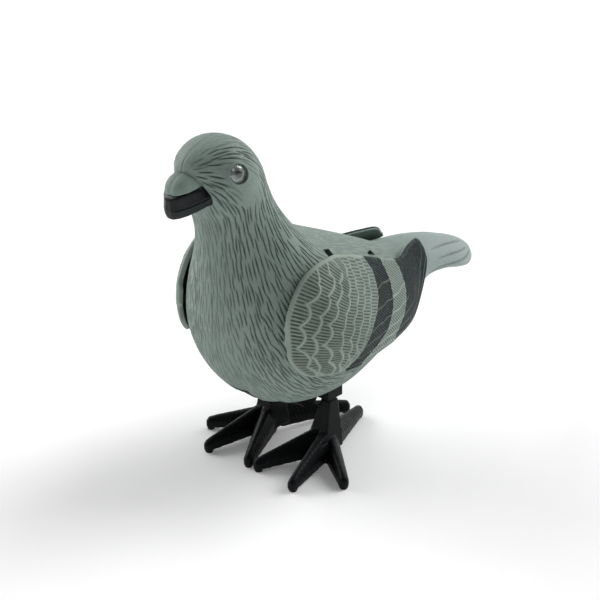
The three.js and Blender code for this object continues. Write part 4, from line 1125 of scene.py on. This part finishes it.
# ------------ legs
def toe(tip, root, ridge):
    """One toe: a tapering ridge with a round, blunt tip."""
    tip, root = Vector((*tip, 0)), Vector((*root, 0))
    along = (tip - root).normalized()
    across = Vector((-along.y, along.x, 0))
    length = (tip - root).length
    points = []
    for k in (-1, 1):
        for w, z in ((3.2, 2.6), (3.2, ridge - 4.2), (1.28, ridge)):
            points.append(root + across * k * w + Vector((0, 0, z)))
    for i in range(13):
        c, s = math.cos(math.pi * (i / 12 - 0.5)), math.sin(math.pi * (i / 12 - 0.5))
        for reach, w, z in ((1.7, 1.7, 1.0), (1.7, 1.7, 3.0), (0.9, 0.9, 4.4)):
            points.append(root + along * (length + reach * c) + across * w * s + Vector((0, 0, z)))
    return hull("toe", points)


def join(name, parts):
    """One mesh from several, still overlapping."""
    bm = bmesh.new()
    for part in parts:
        bm.from_mesh(part.data)
        drop(part)
    mesh = bpy.data.meshes.new(name)
    bm.to_mesh(mesh)
    bm.free()
    return add_object(name, mesh)


def scale_relief(obj):
    """Fine slanting scales along each toe and a crest on its ridge."""
    co, normals = coords(obj), vertex_normals(obj)
    height, ridge = np.zeros(len(co)), np.zeros(len(co))
    for tip, root, _ in TOES:
        tip, root = np.array(tip), np.array(root)
        length = np.linalg.norm(tip - root)
        along = (tip - root) / length
        across = np.array([-along[1], along[0]])
        u = (co[:, :2] - root) @ along
        w = (co[:, :2] - root) @ across
        part = smoothstep(1.0, 4.0, u) * smoothstep(length + 0.5, length - 2.5, u) * (np.abs(w) < 4.2)
        part = part * smoothstep(-0.2, 0.3, normals[:, 2])
        scales = pulse(u - 0.8 * np.abs(w), 1.7, 0.05, 0.4) * smoothstep(0.5, 1.1, np.abs(w))
        crest = np.exp(-(w / 0.55) ** 2) * smoothstep(0.5, 0.85, normals[:, 2])
        height += part * (0.28 * crest - 0.13 * scales)
        ridge = np.maximum(ridge, part * crest)
    set_coords(obj, co + normals * height[:, None])
    # The crest mask, kept as the "ridge" attribute, places the painted highlight of the black paint.
    set_attribute(obj, "ridge", ridge)


def foot_and_shank():
    """The left shank and its four toes, fused into one skin, with a round pad under each toe."""
    x, y = HIP_X, HIP_Y
    shank = hull("shank", [(x + dx, y + dy, z) for z, inward, outer, forward, back in SHANK
                           for dx in (-inward, outer) for dy in (-forward, back)])
    pads = [lathe("pad", [(0, 0.0), (1.4, 0.0), (1.4, 1.8), (0, 1.8)], (*tip, 0), (0, 0, 1), 24)
            for tip, _, _ in TOES]
    foot = join("foot_left", [toe(*ends) for ends in TOES] + [shank] + pads)
    apply_modifier(foot, "REMESH", mode="VOXEL", voxel_size=0.32 * MM)
    apply_modifier(foot, "SMOOTH", factor=0.5, iterations=4)
    scale_relief(foot)
    return foot


def leg_lever():
    """The left leg's lever, with its hub on the hip pin and the slot that the crank drives."""
    x0, x1, y = HIP_X - LEVER_HALF, HIP_X + LEVER_HALF, HIP_Y
    lever = box("leg_lever_left", (x0, y - 1.5, 20.4), (x1, y + 1.5, 48.0))
    boolean(lever, box("head", (x0, y - 2.2, 45.0), (x1, y + 2.2, LEVER_TOP)), "UNION")
    boolean(lever, rod_x("hub", 2.4, x0, x1, y, HIP_Z), "UNION")
    boolean(lever, box("slot", (x0 - 8, y - 0.95, 46.4), (x1 + 8, y + 0.95, LEVER_TOP - 1.2)))
    boolean(lever, rod_x("bore", 1.28, x0 - 8, x1 + 8, y, HIP_Z))
    apply_modifier(lever, "BEVEL", width=0.2 * MM, segments=2, limit_method="ANGLE")
    return lever


def make_legs():
    foot, lever = foot_and_shank(), leg_lever()
    for side_name, side in SIDES:
        for source, name in ((foot, "foot_"), (lever, "leg_lever_")):
            obj = mirrored(source, name + side_name) if side < 0 else source
            obj.name = name + side_name
            smooth(obj, 50.0 if source is foot else 35.0)
            paint(obj, LEG_PLASTIC)
            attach(obj, side_name + "_leg")
            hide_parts("leg_" + side_name)


# ------------ CAD nodes that stay
def finish_cad_nodes():
    """Node materials on the CAD model's own pieces, by the name of each material slot."""
    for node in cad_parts.values():
        for slot in node.material_slots:
            key = slot.material.name.split(".")[0]
            if key in CAD_MATERIALS:
                slot.material = CAD_MATERIALS[key]


# ------------ floor and light
def add_lamp(name, kind, energy, towards):
    """A lamp that shines from a direction onto the object."""
    data = bpy.data.lights.new(name, kind)
    data.energy = energy
    lamp = add_object(name, data)
    lamp.rotation_mode = "QUATERNION"
    lamp.rotation_quaternion = (-Vector(towards)).to_track_quat("-Z", "Y")
    return lamp


def make_stage():
    """White paper floor, a sun on each far side and a small soft light in front."""
    mesh = bpy.data.meshes.new("floor")
    mesh.from_pydata([(-4, -4, 0), (4, -4, 0), (4, 4, 0), (-4, 4, 0)], [], [(0, 1, 2, 3)])
    floor = add_object("floor", mesh)
    n = Nodes("floor_paper")
    white = n.mix(n.cloud(40.0, 3.0, 0.0, 1.0), (0.93, 0.93, 0.93, 1), (0.96, 0.96, 0.96, 1))
    paint(floor, n.surface(white, 0.9, Emission_Color=(1, 1, 1, 1), Emission_Strength=0.12))
    make_world()
    scene.view_settings.view_transform = "Standard"
    for name, towards, strength in (("sun_left", (-0.86, -0.20, 0.42), 1.55),
                                    ("sun_rear", (0.34, 0.76, 0.75), 1.85)):
        sun = add_lamp(name, "SUN", strength, towards)
        sun.data.angle = math.radians(40)
    place, aim = Vector((0.55, -0.25, 0.62)), Vector((0, -0.02, 0.07))
    softbox = add_lamp("softbox", "AREA", 0.15, place - aim)
    softbox.location = place
    softbox.data.shape = "DISK"
    softbox.data.size = 0.22


def make_world():
    """A bright room: its far side is lit, its near side is dim above a pale horizon."""
    world = bpy.data.worlds.new("studio")
    world.use_nodes = True
    n = Tree(world.node_tree)
    place = n.node("ShaderNodeTexCoord").outputs["Generated"]
    ramps = []
    for towards, low, high in (((0.67, -0.74, 0.0), -0.35, 0.35), ((0.0, 0.0, 1.0), 0.06, 0.20)):
        dot = n.node("ShaderNodeVectorMath", {0: place, 1: towards}, operation="DOT_PRODUCT")
        ramps.append(n.spread(dot.outputs["Value"], low, high, 0.8, 0.04,
                              interpolation_type="SMOOTHSTEP"))
    sky = n.tree.nodes["Background"]
    n.put(sky.inputs["Color"], (1, 1, 1, 1))
    n.put(sky.inputs["Strength"], n.math("MAXIMUM", *ramps))
    scene.world = world


shell_half("shell_carved_left", 1, 11)
shell_half("shell_carved_right", -1, 23)
make_beak()
make_eyes()
make_wings()
make_legs()
finish_cad_nodes()
make_stage()
